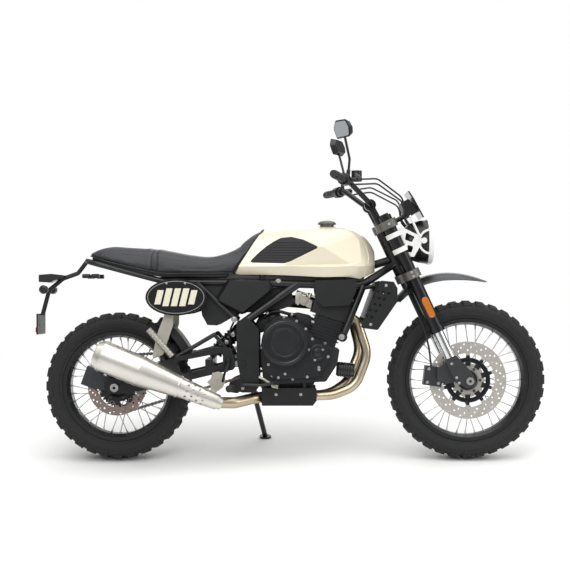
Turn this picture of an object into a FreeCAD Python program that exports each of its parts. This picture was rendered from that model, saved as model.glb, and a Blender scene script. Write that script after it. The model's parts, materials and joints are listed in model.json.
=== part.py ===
import FreeCAD, Part
import math
import os

from FreeCAD import Placement, Rotation, Vector

# A two-cylinder street motorcycle in cafe racer and scrambler dress, parked on its side stand.
# Every piece is drawn on an upright machine: x runs forward from the rear axle, y to the rider's left,
# z up from the ground. The last step leans the whole machine onto its stand. All sizes are in millimetres.

# Chassis layout
WHEELBASE = 1450.0
RAKE = 25.0                    # steering axis from the vertical, degrees
FORK_OFFSET = 25.0             # from the steering axis forward to the fork tubes
AXLE_LEAD = 30.0               # from the fork tubes forward to the axle
LEAN = 10.0                    # parked lean to the left, degrees
SWINGARM_LENGTH = 525.0
PIVOT_RISE = 99.0              # swingarm pivot above the rear axle
RUNNING_GAP = 0.08             # shaft in its bearing
SEAT_GAP = 0.3                 # between pieces that sit against each other

# Wheels and tyres
FRONT_TYRE_R = 331.0
FRONT_TYRE_W = 112.0
FRONT_RIM_R = 229.0            # inner face of the rim, where the spoke nipples show
FRONT_RIM_W = 84.0
REAR_TYRE_R = 306.0
REAR_TYRE_W = 150.0
REAR_RIM_R = 201.0
REAR_RIM_W = 120.0
RIM_DEPTH = 26.0               # from the rim's inner face out to its flange
RIM_WALL = 6.0
SPOKE_R = 1.8
SPOKES = 36
SPOKE_CROSS = 4.4              # sideways, between the two spokes that cross
SPOKE_SWEEP = 34.0             # degrees from a spoke's seat in the hub round to its seat in the rim
AXLE_R = 10.0
AXLE_BORE_R = 6.0
REAR_AXLE_HALF = 150.0
FRONT_HUB_R = 27.0
FRONT_FLANGE_R = 58.0
FRONT_HUB_W = 84.0
REAR_HUB_R = 40.0
REAR_FLANGE_R = 66.0
REAR_HUB_W = 104.0
HUB_SEAT_R = 50.0              # the round faces that carry a disc or the sprocket
FLANGE_T = 6.0
LUG_DEPTH = 8.0                # block tread above the carcass
LUG_SHARE = 0.62               # of each pitch, the rest is the groove
FRONT_LUGS = 36
REAR_LUGS = 32
CENTRE_GROOVE = 4.0            # half width of the groove along the crown

# Brakes and final drive
FRONT_DISC_R = 160.0
FRONT_DISC_IN = 112.0
FRONT_DISC_Y = -60.0
REAR_DISC_R = 120.0
REAR_DISC_IN = 86.0
REAR_DISC_Y = -72.0
DISC_T = 5.0
DISC_HOLE_R = 4.0
CALIPER_W = 46.0               # the front caliper's width across the disc
CHAIN_Y = 92.0
CHAIN_W = 18.0
CHAIN_H = 14.0
CHAIN_PITCH = 15.875
CHAIN_WAIST = 2.6              # how far a link's plate dips between its pins
REAR_SPROCKET_R = 108.0
CHAIN_GAP = 5.5                # from the turning sprocket's teeth out to the fixed chain loop
SPROCKET_T = 7.0
SPROCKET_TEETH = 46
FRONT_SPROCKET_R = 39.0
FRONT_SPROCKET_AHEAD = 76.0    # from the swingarm pivot

# Fork, measured up the fork tubes from the front axle
FORK_HALF = 98.0               # fork tube to the centre plane
FORK_FOOT_HALF = 22.0          # half width of the foot that holds the axle
FRONT_AXLE_HALF = FORK_HALF + FORK_FOOT_HALF + 6
FORK_TUBE_R = 20.5
FORK_OUTER_R = 26.0
FORK_OUTER_FROM = 236.0
FORK_TOP = 760.0
LOWER_CLAMP_AT = 495.0
UPPER_CLAMP_AT = 722.0
CLAMP_T = 34.0
CLAMP_BOSS_R = 37.0
HEAD_TUBE_R = 29.0
STEM_R = 15.0
STEER_LIMIT = 34.0             # each way, degrees

# Handlebar
BAR_R = 11.0
BAR_HALF = 405.0
BAR_BACK = 97.0                # from the middle of the head tube back to the bar's clamps
BAR_RISE = 197.0
GRIP_BACK = 259.0
GRIP_RISE = 284.0
BEND_BACK = 191.0              # to where each side of the bar turns down towards its clamp
BEND_RISE = 279.0
BEND_Y = 186.0
GRIP_R = 16.5
GRIP_LENGTH = 122.0
GRIP_GAP = 0.15                # what clamps on the bar, all round it
MIRROR_TURN = 30.0             # the heads turn outwards, degrees

# Frame and bodywork
TOP_TUBE_R = 15.0
SIDE_TUBE_R = 17.0
DOWN_TUBE_R = 14.0
SUBFRAME_R = 11.0
PIVOT_PLATE_IN = 112.0
PIVOT_PLATE_T = 24.0

# Exhaust
HEADER_R = 20.0
SILENCER_R = 62.0

# Side stand
STAND_PIVOT = Vector(560.0, 152.0, 250.0)
STAND_FOOT_X = 604.0
STAND_FOOT_Y = 284.0
STAND_FOLDED = Vector(-1.0, 0.10, 0.03)     # which way the leg points when it is up
STAND_LEG_R = 11.0
STAND_HUB_R = 17.0
STAND_HUB_L = 26.0
STAND_FOOT_R = 26.0
STAND_FOOT_T = 8.0

Y = Vector(0, 1, 0)
Z = Vector(0, 0, 1)
X = Vector(1, 0, 0)
O = Vector(0, 0, 0)
TILT = math.radians(LEAN)


def lug_angle(lugs):
    """Half of the angle that one lug takes up round the axle."""
    return math.pi / lugs * LUG_SHARE


def tyre_section(radius, width, rim_radius, rim_width, lugs):
    """Half of a block tyre's section as (y, radius) points: the bead, the carcass and the top of the lugs.

    The radii are those of the facets' corners, so the bead's are set out until its flats clear the round rim."""
    flat = math.cos(lug_angle(lugs))
    half = width / 2
    bead = rim_width / 2 - RIM_WALL - SEAT_GAP
    seat = (rim_radius + RIM_DEPTH / 2 + SEAT_GAP) / flat
    flange = (rim_radius + RIM_DEPTH + SEAT_GAP) / flat
    height = radius - flange
    shared = [
        (bead, seat),
        (bead, flange),
        (half - 0.05 * width, flange + 0.2 * height),
        (half, flange + 0.5 * height),
    ]
    base = [
        (half * 0.76, flange + 0.87 * height - LUG_DEPTH),
        (CENTRE_GROOVE, radius - LUG_DEPTH),
    ]
    lug = [
        (half * 0.97, flange + 0.64 * height),
        (half * 0.8, flange + 0.87 * height),
        (CENTRE_GROOVE, radius),
    ]
    return shared, base, lug


def axle_height(section, lugs):
    """The axle's height that sets a leaning tyre's lowest lug flat on the ground."""
    flat = math.cos(lug_angle(lugs))
    return max(y * math.tan(TILT) + r * flat for y, r in section[2])


FRONT_SECTION = tyre_section(FRONT_TYRE_R, FRONT_TYRE_W, FRONT_RIM_R, FRONT_RIM_W, FRONT_LUGS)
REAR_SECTION = tyre_section(REAR_TYRE_R, REAR_TYRE_W, REAR_RIM_R, REAR_RIM_W, REAR_LUGS)
REAR_AXLE = Vector(0, 0, axle_height(REAR_SECTION, REAR_LUGS))
FRONT_AXLE = Vector(WHEELBASE, 0, axle_height(FRONT_SECTION, FRONT_LUGS))
PIVOT = REAR_AXLE + Vector(SWINGARM_LENGTH, 0, PIVOT_RISE)
FORK = Placement(FRONT_AXLE, Rotation(Y, -RAKE))


def fork_point(forward, y, up):
    """A point given ahead of the fork tubes, sideways and up them from the axle."""
    return FORK.multVec(Vector(forward, y, up))


STEER_AXIS = FORK.Rotation.multVec(Z)
STEER_X = -AXLE_LEAD - FORK_OFFSET
HEAD = fork_point(STEER_X, 0, (LOWER_CLAMP_AT + UPPER_CLAMP_AT) / 2)
BAR_CENTRE = HEAD + Vector(-BAR_BACK, 0, BAR_RISE)
BAR_BEND = HEAD + Vector(-BEND_BACK, BEND_Y, BEND_RISE)
BAR_END = HEAD + Vector(-GRIP_BACK, BAR_HALF, GRIP_RISE)


# Making shapes
def fuse(shapes):
    """One solid out of several that touch."""
    first, rest = shapes[0], shapes[1:]
    return first.multiFuse(rest).removeSplitter() if rest else first


def mirrored(shape):
    return shape.mirror(O, Y)


def pair(shape):
    """The piece and its mirror image on the other side of the machine."""
    return Part.makeCompound([shape, mirrored(shape)])


def rod(start, end, radius):
    along = end - start
    return Part.makeCylinder(radius, along.Length, start, along)


def rounded_path(points, bend):
    """A path of straight runs joined by tangent arcs. bend is one radius or one for each inner point."""
    inner = len(points) - 2
    radii = bend if isinstance(bend, (list, tuple)) else [bend] * inner
    edges = []
    start = points[0]
    for i in range(1, len(points) - 1):
        corner = points[i]
        before = (points[i - 1] - corner).normalize()
        after = (points[i + 1] - corner).normalize()
        half = before.getAngle(after) / 2
        back = radii[i - 1] / math.tan(half)
        enter, leave = corner + before * back, corner + after * back
        middle = (before + after).normalize()
        peak = corner + middle * (radii[i - 1] / math.sin(half) - radii[i - 1])
        if (enter - start).Length > 1e-6:
            edges.append(Part.LineSegment(start, enter).toShape())
        edges.append(Part.Arc(enter, peak, leave).toShape())
        start = leave
    edges.append(Part.LineSegment(start, points[-1]).toShape())
    return Part.Wire(edges)


def swept(path, radius):
    start = path.Edges[0]
    at = start.valueAt(start.FirstParameter)
    along = start.tangentAt(start.FirstParameter)
    circle = Part.Wire(Part.makeCircle(radius, at, along))
    return path.makePipeShell([circle], True, False)


def tube(points, radius, bend):
    """A bent round bar or tube."""
    return swept(rounded_path([Vector(*p) for p in points], bend), radius)


def outline(points, radius=0.0):
    """A closed outline of straight sides with rounded corners. A point may carry its own radius as a fourth value."""
    corners = [Vector(*p[:3]) for p in points]
    radii = [p[3] if len(p) > 3 else radius for p in points]
    n = len(corners)
    edges = []
    ends = []
    for i in range(n):
        corner = corners[i]
        before = (corners[i - 1] - corner).normalize()
        after = (corners[(i + 1) % n] - corner).normalize()
        half = before.getAngle(after) / 2
        if radii[i] <= 0 or abs(half - math.pi / 2) < 1e-6:
            ends.append((corner, corner, None))
            continue
        back = radii[i] / math.tan(half)
        middle = (before + after).normalize()
        peak = corner + middle * (radii[i] / math.sin(half) - radii[i])
        ends.append((corner + before * back, corner + after * back, peak))
    for i in range(n):
        enter, leave, peak = ends[i]
        if peak is not None:
            edges.append(Part.Arc(enter, peak, leave).toShape())
        following = ends[(i + 1) % n][0]
        if (following - leave).Length > 1e-6:
            edges.append(Part.LineSegment(leave, following).toShape())
    return Part.Wire(edges)


def side_plate(points, y_from, y_to, radius=0.0):
    """A plate whose outline is given in side view, as (x, z) or (x, z, corner radius)."""
    flat = [(p[0], y_from, p[1], *p[2:]) for p in points]
    return Part.Face(outline(flat, radius)).extrude(Vector(0, y_to - y_from, 0))


def turned(profile, centre):
    """A body of revolution about the wheel axle through centre. The profile is (y, radius) points."""
    corners = [centre + Vector(0, y, r) for y, r in profile]
    wire = Part.makePolygon(corners + [corners[0]])
    return Part.Face(wire).revolve(centre, Y, 360)


def around(shape, centre, axis, count, phase=0.0):
    """Equally spaced copies of a shape about an axis."""
    copies = []
    for i in range(count):
        copy = shape.copy()
        copy.rotate(centre, axis, phase + 360.0 * i / count)
        copies.append(copy)
    return copies


def loft(wires, ruled=False):
    return Part.makeLoft(wires, True, ruled)


def in_fork(shape):
    """Sets a shape drawn upright about the front axle at the fork's rake."""
    placed = shape.copy()
    placed.Placement = FORK.multiply(placed.Placement)
    return placed


# Wheels
def tyre(centre, section, lugs):
    """A block tyre out of flat facets: lug and groove by turns, both with the same bead and sidewall."""
    shared, base, lug = section
    half = lug_angle(lugs)
    step = 2 * math.pi / lugs

    def at(point, angle):
        y, r = point
        return centre + Vector(r * math.cos(angle), y, r * math.sin(angle))

    def both(points):
        return points + [(-y, r) for y, r in reversed(points)]

    def facets(points, start, end):
        closed = zip(points, points[1:] + points[:1])
        return [[at(a, start), at(b, start), at(b, end), at(a, end)] for a, b in closed]

    top = both(shared + lug + base[-1:])
    groove = both(shared + base)
    wall = shared[-1:] + lug + base[::-1]
    walls = [wall, [(-y, r) for y, r in wall]]
    sides = []
    for i in range(lugs):
        middle = step * i - math.pi / 2
        start, end, following = middle - half, middle + half, middle + step - half
        sides += facets(top, start, end) + facets(groove, end, following)
        sides += [[at(point, angle) for point in side] for side in walls for angle in (start, end)]
    shell = Part.Shell([Part.Face(Part.makePolygon(side + side[:1])) for side in sides])
    shell.sewShape()
    return Part.Solid(shell)


def rim(centre, radius, width):
    half = width / 2
    seat = radius + RIM_DEPTH / 2
    lip = radius + RIM_DEPTH
    side = [
        (half, lip),
        (half, radius + RIM_DEPTH * 0.4),
        (half * 0.42, radius),
    ]
    inside = [
        (half * 0.34, radius + RIM_WALL),
        (half - RIM_WALL, seat),
        (half - RIM_WALL, lip),
    ]
    right = [(-y, r) for y, r in reversed(side)]
    well = [(-y, r) for y, r in reversed(inside)]
    return turned(side + right + well + inside, centre)


def wire_wheel(centre, rim_radius, rim_width, hub_r, flange_r, hub_w):
    """Rim, crossed spokes and hub, joined as one."""
    end = hub_w / 2
    hub_side = [
        (end, AXLE_R + RUNNING_GAP),
        (end, HUB_SEAT_R),
        (end - 2 * FLANGE_T, HUB_SEAT_R),
        (end - 2 * FLANGE_T, flange_r),
        (end - 3 * FLANGE_T, flange_r),
        (end - 4 * FLANGE_T, hub_r),
    ]
    hub = turned(hub_side + [(-y, r) for y, r in reversed(hub_side)], centre)
    spokes = []
    flange_y = hub_w / 2 - 2.5 * FLANGE_T
    step = 360.0 / SPOKES
    for i in range(SPOKES):
        side = 1 if i % 2 else -1
        turn = 1 if (i // 2) % 2 else -1
        at_rim = math.radians(step * i)
        at_hub = math.radians(step * i + turn * SPOKE_SWEEP)
        aside = turn * SPOKE_CROSS / 2
        inner_r = flange_r - FLANGE_T
        outer_r = rim_radius + RIM_WALL / 2
        inner = centre + Vector(inner_r * math.cos(at_hub), side * flange_y + aside, inner_r * math.sin(at_hub))
        outer = centre + Vector(outer_r * math.cos(at_rim), side * FLANGE_T + aside, outer_r * math.sin(at_rim))
        spokes.append(rod(inner, outer, SPOKE_R))
    return fuse([rim(centre, rim_radius, rim_width), hub] + spokes)


def brake_disc(centre, y, outer, inner, carrier, hub_face, arms, holes):
    """A floating brake disc: a drilled ring on bobbins, held by a spider that is bolted to the hub."""
    near, far = y - DISC_T / 2, y + DISC_T / 2
    ring = turned([(near, inner), (near, outer), (far, outer), (far, inner)], centre)
    drill = []
    for i, share in enumerate((0.26, 0.52, 0.78)):
        at = Vector(0, 0, inner + share * (outer - inner))
        hole = rod(centre + at + Y * (near - DISC_T), centre + at + Y * (far + DISC_T), DISC_HOLE_R)
        drill += around(hole, centre, Y, holes, 120.0 * i / holes)
    cup = turned([(near, carrier), (near, carrier + 14), (far, carrier + 14), (hub_face, carrier + 4),
                  (hub_face, carrier - 4), (far, carrier - 4)], centre)
    reach = inner - DISC_T
    arm = side_plate([(-13, carrier + 6), (-6, reach), (6, reach), (13, carrier + 6)], near, far)
    arm.translate(centre)
    bobbin = rod(centre + Vector(0, near - 2, inner), centre + Vector(0, far + 2, inner), 9)
    drilled = ring.cut(Part.makeCompound(drill))
    return fuse([drilled, cup] + around(arm, centre, Y, arms) + around(bobbin, centre, Y, arms))


def sprocket(centre):
    disc = turned([(CHAIN_Y - SPROCKET_T / 2, REAR_HUB_R), (CHAIN_Y - SPROCKET_T / 2, REAR_SPROCKET_R),
                   (CHAIN_Y + SPROCKET_T / 2, REAR_SPROCKET_R), (CHAIN_Y + SPROCKET_T / 2, REAR_HUB_R)], centre)
    hole = Part.makeCylinder(15, 4 * SPROCKET_T, centre + Vector(0, CHAIN_Y - 2 * SPROCKET_T, 76), Y)
    drum = turned([(REAR_HUB_W / 2 + SEAT_GAP, AXLE_R + RUNNING_GAP), (REAR_HUB_W / 2 + SEAT_GAP, 48),
                   (CHAIN_Y + SPROCKET_T / 2 + 2, 48), (CHAIN_Y + SPROCKET_T / 2 + 2, AXLE_R + RUNNING_GAP)], centre)
    gap = Part.makeBox(6, 4 * SPROCKET_T, 12, centre + Vector(-3, CHAIN_Y - 2 * SPROCKET_T, REAR_SPROCKET_R - 5))
    disc = disc.cut(Part.makeCompound(around(hole, centre, Y, 6) + around(gap, centre, Y, SPROCKET_TEETH)))
    return fuse([disc, drum])


def spun(profile, start, along):
    """A body of revolution along a free axis. The profile is (distance, radius) points from start."""
    wire = Part.makePolygon([Vector(r, 0, d) for d, r in profile] + [Vector(profile[0][1], 0, profile[0][0])])
    body = Part.Face(wire).revolve(O, Z, 360)
    body.Placement = Placement(start, Rotation(Z, along))
    return body


def box(low, high):
    return Part.makeBox(high[0] - low[0], high[1] - low[1], high[2] - low[2], Vector(*low))


def belt(centre_a, radius_a, centre_b, radius_b):
    """The closed path of a belt round two circles in side view, as a length and a function of the distance along it."""
    span = centre_b - centre_a
    spread = math.acos((radius_a - radius_b) / span.Length)
    base = math.atan2(span.z, span.x)
    run = math.sqrt(span.Length ** 2 - (radius_a - radius_b) ** 2)
    wrap_a, wrap_b = 2 * (math.pi - spread), 2 * spread

    def at(distance, out=0.0):
        """The point at a distance along the belt, moved outwards from it."""
        if distance < wrap_a * radius_a:
            turn = base + spread + distance / radius_a
            return centre_a + Vector(math.cos(turn), 0, math.sin(turn)) * (radius_a + out)
        distance -= wrap_a * radius_a
        if distance < run:
            aside = base - spread
            along = Vector(-math.sin(aside), 0, math.cos(aside))
            return centre_a + Vector(math.cos(aside), 0, math.sin(aside)) * (radius_a + out) + along * distance
        distance -= run
        if distance < wrap_b * radius_b:
            turn = base - spread + distance / radius_b
            return centre_b + Vector(math.cos(turn), 0, math.sin(turn)) * (radius_b + out)
        distance -= wrap_b * radius_b
        aside = base + spread
        along = Vector(-math.sin(aside), 0, math.cos(aside))
        return centre_b + Vector(math.cos(aside), 0, math.sin(aside)) * (radius_b + out) + along * distance

    return wrap_a * radius_a + wrap_b * radius_b + 2 * run, at


# Frame
def main_frame():
    """Head tube, spine, side rails, diagonals and the two plates that hold the swingarm's pivot."""
    bottom = fork_point(STEER_X, 0, LOWER_CLAMP_AT + CLAMP_T / 2 + SEAT_GAP)
    top = fork_point(STEER_X, 0, UPPER_CLAMP_AT - CLAMP_T / 2 - SEAT_GAP)
    head_tube = rod(bottom, top, HEAD_TUBE_R)
    spine = tube([(HEAD.x + 7, 0, HEAD.z - 24), (1000, 0, 790), (735, 0, 776), (735, 0, 722)], TOP_TUBE_R + 2, [200, 40])
    rail = tube([(HEAD.x + 7, 14, HEAD.z - 47), (1010, 84, 722), (480, 100, 736)], TOP_TUBE_R, 120)
    diagonal = rod(Vector(745, 91, 729), Vector(505, 118, 556), SIDE_TUBE_R)
    engine_hanger = rod(Vector(1016, 88, 722), Vector(930, 114, 512), DOWN_TUBE_R)
    boss = rod(Vector(928, CYLINDER_HALF + SEAT_GAP, 512), Vector(928, 128, 512), 20)
    plate = side_plate([(496, 575), (540, 592), (587, 545), (587, 306), (562, 286), (505, 286), (514, 336),
                        (497, 420)], PIVOT_PLATE_IN, PIVOT_PLATE_IN + PIVOT_PLATE_T, 12)
    hole = rod(PIVOT + Y * 90, PIVOT + Y * 150, AXLE_R + SEAT_GAP)
    stand_axis = side_stand()[1]
    stand_seat = STAND_PIVOT - stand_axis * (STAND_HUB_L / 2 + SEAT_GAP)
    stand_lug = rod(stand_seat, stand_seat - stand_axis * 22, STAND_HUB_R)
    stand_arm = rod(stand_seat - stand_axis * 17, Vector(562, 96, 304), 12)
    side = fuse([rail, diagonal, engine_hanger, boss, plate]).cut(hole)
    crosses = [rod(Vector(x, -PIVOT_PLATE_IN - 6, z), Vector(x, PIVOT_PLATE_IN + 6, z), 15)
               for x, z in [(562, 304), (522, 560)]]
    crosses.append(rod(Vector(735, -92, 729), Vector(735, 92, 729), TOP_TUBE_R))
    whole = fuse([head_tube, spine, side, mirrored(side), stand_lug, stand_arm] + crosses)
    return whole.cut(rod(bottom - STEER_AXIS * 20, top + STEER_AXIS * 20, STEM_R + RUNNING_GAP))


def subframe():
    loop = tube([(479, 100, 736), (195, 104, 738), (-128, 104, 824), (-128, -104, 824), (195, -104, 738),
                 (479, -100, 736)], SUBFRAME_R, [300, 70, 70, 300])
    brace = rod(Vector(330, 104, 738), Vector(494, 124, 582), 9)
    cross = rod(Vector(330, -104, 738), Vector(330, 104, 738), 9)
    return fuse([loop, cross, brace, mirrored(brace)])


def swingarm():
    arm = [(488, 428), (488, 380), (300, 335), (60, 283), (-25, 280), (-45, 300), (-42, 332), (20, 345),
           (233, 425), (400, 470), (470, 468)]
    window = [(440, 448), (250, 412), (270, 360), (440, 400)]
    right = side_plate(arm, -128, -98, 12).cut(side_plate(window, -140, -90, 12))
    left = side_plate(arm, 108, 136, 12).cut(side_plate(window, 100, 140, 12))
    cross = box((455, -128, 386), (488, 136, 428))
    web = box((455, -105, 388), (525, 105, 426))
    pivot_tube = rod(PIVOT - Y * 105, PIVOT + Y * 105, 21)
    shaft = rod(PIVOT - Y * 142, PIVOT + Y * 142, AXLE_R)
    brace = box((368, -128, 378), (398, 136, 420))
    truss = []
    for y in (-113, 122):
        apex = Vector(404, y, 522)
        truss += [rod(Vector(238, y, 424), apex, 8), rod(apex, Vector(462, y, 455), 8)]
        truss.append(Part.makeSphere(8, apex))
    axle_hole = rod(REAR_AXLE - Y * 150, REAR_AXLE + Y * 150, AXLE_R + SEAT_GAP)
    return fuse([right, left, cross, web, pivot_tube, shaft, brace] + truss).cut(axle_hole)


def rear_axle():
    end = REAR_AXLE_HALF
    bar = rod(REAR_AXLE - Y * end, REAR_AXLE + Y * end, AXLE_R)
    nut = rod(REAR_AXLE + Y * (136 + SEAT_GAP), REAR_AXLE + Y * end, 17)
    head = rod(REAR_AXLE - Y * (128 + SEAT_GAP), REAR_AXLE - Y * end, 17)
    bore = rod(REAR_AXLE - Y * end, REAR_AXLE + Y * end, AXLE_BORE_R)
    return fuse([bar, nut, head]).cut(bore)


def front_axle():
    end = FRONT_AXLE_HALF
    bar = rod(FRONT_AXLE - Y * end, FRONT_AXLE + Y * end, AXLE_R)
    collar_in = FRONT_HUB_W / 2 + SEAT_GAP * 2
    collar_out = FORK_HALF - FORK_FOOT_HALF - SEAT_GAP
    collars = [rod(FRONT_AXLE + Y * collar_in * s, FRONT_AXLE + Y * collar_out * s, 15) for s in (-1, 1)]
    head = rod(FRONT_AXLE - Y * (FORK_HALF + FORK_FOOT_HALF + SEAT_GAP), FRONT_AXLE - Y * end, 16)
    return fuse([bar, head] + collars).cut(rod(FRONT_AXLE - Y * end, FRONT_AXLE + Y * end, AXLE_BORE_R))


def rear_shock():
    low, high = Vector(383, 0, 426), Vector(518, 0, 556)
    along = high - low
    length = along.Length
    profile = [(0, 0), (0, 16), (24, 16)]
    turns = 8
    pitch = (length - 60) / turns
    for i in range(turns):
        start = 24 + pitch * i
        profile += [(start + pitch * 0.2, 31), (start + pitch * 0.6, 31), (start + pitch * 0.8, 25)]
    profile += [(length - 30, 27), (length - 16, 27), (length - 16, 14), (length, 14), (length, 0)]
    return spun(profile, low, along).cut(swingarm()).cut(main_frame())


def chain():
    """One fixed loop of chain, its outer edge dipping between the pins of every link."""
    front = PIVOT + Vector(FRONT_SPROCKET_AHEAD, 0, 6)
    around_rear = REAR_SPROCKET_R + CHAIN_GAP + CHAIN_H / 2
    dip = CHAIN_PITCH ** 2 / (8 * FRONT_SPROCKET_R)
    around_front = FRONT_SPROCKET_R + SEAT_GAP + dip + CHAIN_H / 2
    length, at = belt(REAR_AXLE, around_rear, front, around_front)
    links = round(length / CHAIN_PITCH)
    step = length / links
    outer = []
    for i in range(links):
        outer.append(at(step * i, CHAIN_H / 2))
        outer.append(at(step * (i + 0.5), CHAIN_H / 2 - CHAIN_WAIST))
    rollers = [at(step * i, -CHAIN_H / 2) for i in range(links)]
    inner = [b for a, b, c in zip(rollers[-1:] + rollers, rollers, rollers[1:] + rollers[:1])
             if (b - a).getAngle(c - b) > 0.01]
    edge, hole = [Part.Face(Part.makePolygon(points + points[:1])) for points in (outer, inner)]
    band = edge.cut(hole).extrude(Y * CHAIN_W)
    band.translate(Y * (CHAIN_Y - CHAIN_W / 2))
    return band


# Engine
ENGINE_HALF = 105.0
CYLINDER_LEAN = 18.0
CYLINDER_BASE = Vector(845, 0, 482)
CYLINDER_RISE = 112.0
HEAD_RISE = 92.0
COVER_RISE = 34.0
CYLINDER_HALF = 84.0           # half width over the fins
DECK_HALF = 76.0               # half length of the deck that the cylinders stand on


def on_cylinders(shape):
    placed = shape.copy()
    placed.Placement = Placement(CYLINDER_BASE, Rotation(Y, CYLINDER_LEAN)).multiply(placed.Placement)
    return placed


def crankcase():
    lean = math.radians(CYLINDER_LEAN)
    deck = [CYLINDER_BASE + Vector(math.cos(lean), 0, -math.sin(lean)) * u for u in (-DECK_HALF, DECK_HALF)]
    body = side_plate([(602, 345), (592, 470), (612, 560), (668, 598), (738, 588), (deck[0].x, deck[0].z, 0),
                       (deck[1].x, deck[1].z, 0), (908, 400), (862, 328), (640, 318)], -ENGINE_HALF, ENGINE_HALF, 14)
    chain_side = side_plate([(580, 340), (580, 490), (668, 490), (668, 340)], 70, ENGINE_HALF + 1, 30)
    output = rod(Vector(PIVOT.x + FRONT_SPROCKET_AHEAD, 60, PIVOT.z + 6),
                 Vector(PIVOT.x + FRONT_SPROCKET_AHEAD, CHAIN_Y + 8, PIVOT.z + 6), 14)
    teeth = rod(Vector(PIVOT.x + FRONT_SPROCKET_AHEAD, CHAIN_Y - SPROCKET_T / 2, PIVOT.z + 6),
                Vector(PIVOT.x + FRONT_SPROCKET_AHEAD, CHAIN_Y + SPROCKET_T / 2, PIVOT.z + 6), FRONT_SPROCKET_R)
    return fuse([body.cut(chain_side), output, teeth])


def side_casings():
    right_base = side_plate([(618, 370), (612, 500), (640, 560), (700, 588), (770, 560), (820, 500), (868, 470),
                             (872, 420), (830, 352), (660, 340)], -ENGINE_HALF - 34, -ENGINE_HALF - SEAT_GAP, 16)
    clutch = Vector(692, 0, 489)
    drum = rod(clutch - Y * (ENGINE_HALF + 30), clutch - Y * 172, 94)
    cap = rod(clutch - Y * 168, clutch - Y * 182, 62)
    pump = rod(Vector(826, -ENGINE_HALF - 30, 450), Vector(826, -156, 450), 33)
    left_base = side_plate([(690, 350), (680, 500), (720, 560), (790, 520), (868, 470), (872, 420), (830, 352)],
                           ENGINE_HALF + SEAT_GAP, ENGINE_HALF + 30, 16)
    alternator = rod(Vector(776, ENGINE_HALF + 28, 440), Vector(776, 158, 440), 76)
    chain_cover = side_plate([(589, 368), (589, 466), (622, 500), (700, 500), (706, 360), (640, 346)],
                             ENGINE_HALF + 2, ENGINE_HALF + 20, 12)
    return Part.makeCompound([fuse([right_base, drum, cap, pump]), fuse([left_base, alternator, chain_cover])])


def cylinder_block():
    wide = CYLINDER_HALF
    core = box((-60, -wide + 8, SEAT_GAP), (56, wide - 8, CYLINDER_RISE))
    fins = [box((-70, -wide, z), (64, wide, z + 4)) for z in range(22, 108, 13)]
    return on_cylinders(fuse([core] + fins))


def cylinder_head():
    low = CYLINDER_RISE + SEAT_GAP
    body = box((-86, -86, low), (74, 86, low + HEAD_RISE))
    return on_cylinders(body.makeFillet(8, [e for e in body.Edges if abs(e.tangentAt(0).z) > 0.9]))


def head_cover():
    low = CYLINDER_RISE + HEAD_RISE + 2 * SEAT_GAP
    body = box((-76, -64, low), (66, 64, low + COVER_RISE))
    top = [e for e in body.Edges if e.BoundBox.ZMin > low + COVER_RISE - 1]
    return on_cylinders(body.makeChamfer(12, top))


def oil_filter():
    filter_axis = Vector(1, 0, -0.1)
    profile = [(0, 0), (0, 26)]
    for i in range(6):
        profile += [(8 + 10 * i, 31), (14 + 10 * i, 31), (15 + 10 * i, 29)]
    profile += [(74, 27), (74, 0)]
    return spun(profile, Vector(906, -55, 378), filter_axis).cut(crankcase())


def air_box():
    body = side_plate([(520, 612), (500, 660), (520, 712), (690, 716), (724, 690), (724, 640), (640, 612)],
                      -70, 70, 14)
    intakes = [rod(Vector(700, y, 660), Vector(820, y, 650), 26) for y in (-42, 42)]
    return fuse([body] + intakes).cut(cylinder_head())


RADIATOR_FRONT = [(1106, 735), (1052, 578)]


def radiator():
    (xt, zt), (xb, zb) = RADIATOR_FRONT
    core = side_plate([(xt, zt), (xb, zb), (xb - 34, zb + 12), (xt - 34, zt + 6)], -148, 148, 4)
    feet = [rod(Vector(xt - 40, 92 * s, zt - 14), Vector(xt - 96, 92 * s, zt - 24), 8) for s in (-1, 1)]
    return fuse([core] + feet).cut(main_frame())


def radiator_guards():
    guard = side_plate([(1081, 742), (1135, 737), (1150, 711), (1150, 657), (1070, 541), (999, 550), (1036, 634),
                        (1066, 700)], 148 + SEAT_GAP, 154, 8)
    holes = []
    for row in range(5):
        for column in range(3):
            x = 1126 - 17 * row - 22 * column
            z = 690 - 24 * row + 4 * column
            holes.append(rod(Vector(x - 12, 140, z), Vector(x - 12, 160, z), 6))
    return pair(guard.cut(Part.makeCompound(holes)))


def sump_guard():
    """A folded plate under the engine, bolted to four posts below the crankcase."""
    plate = side_plate([(598, 302), (823, 302), (823, 250), (808, 230), (598, 230)], -112, 74, 4)
    hollow = side_plate([(590, 320), (830, 320), (830, 252), (806, 234), (590, 234)], -108, 70, 2)
    posts = [rod(Vector(x, y, 232), Vector(x, y, 330), 7) for x in (664, 772) for y in (-98, 60)]
    return fuse([plate.cut(hollow)] + posts).cut(crankcase())


def exhaust_headers():
    right = tube([(930, -48, 612), (992, -52, 574), (1036, -60, 440), (985, -66, 306), (890, -70, 270),
                  (790, -66, 266)], HEADER_R, [34, 120, 100, 150])
    left = tube([(930, 48, 612), (980, 46, 578), (1008, 30, 450), (955, 0, 320), (880, -20, 270),
                 (790, -34, 266)], HEADER_R, [34, 120, 100, 150])
    collector = tube([(800, -50, 267), (590, -66, 263), (490, -152, 246), (424, -178, 250)], HEADER_R + 3,
                     [150, 60])
    return fuse([right, left, collector]).cut(cylinder_head()).cut(silencer())


SILENCER_IN = Vector(424, -178, 250)
SILENCER_OUT = Vector(-64, -215, 450)


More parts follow.
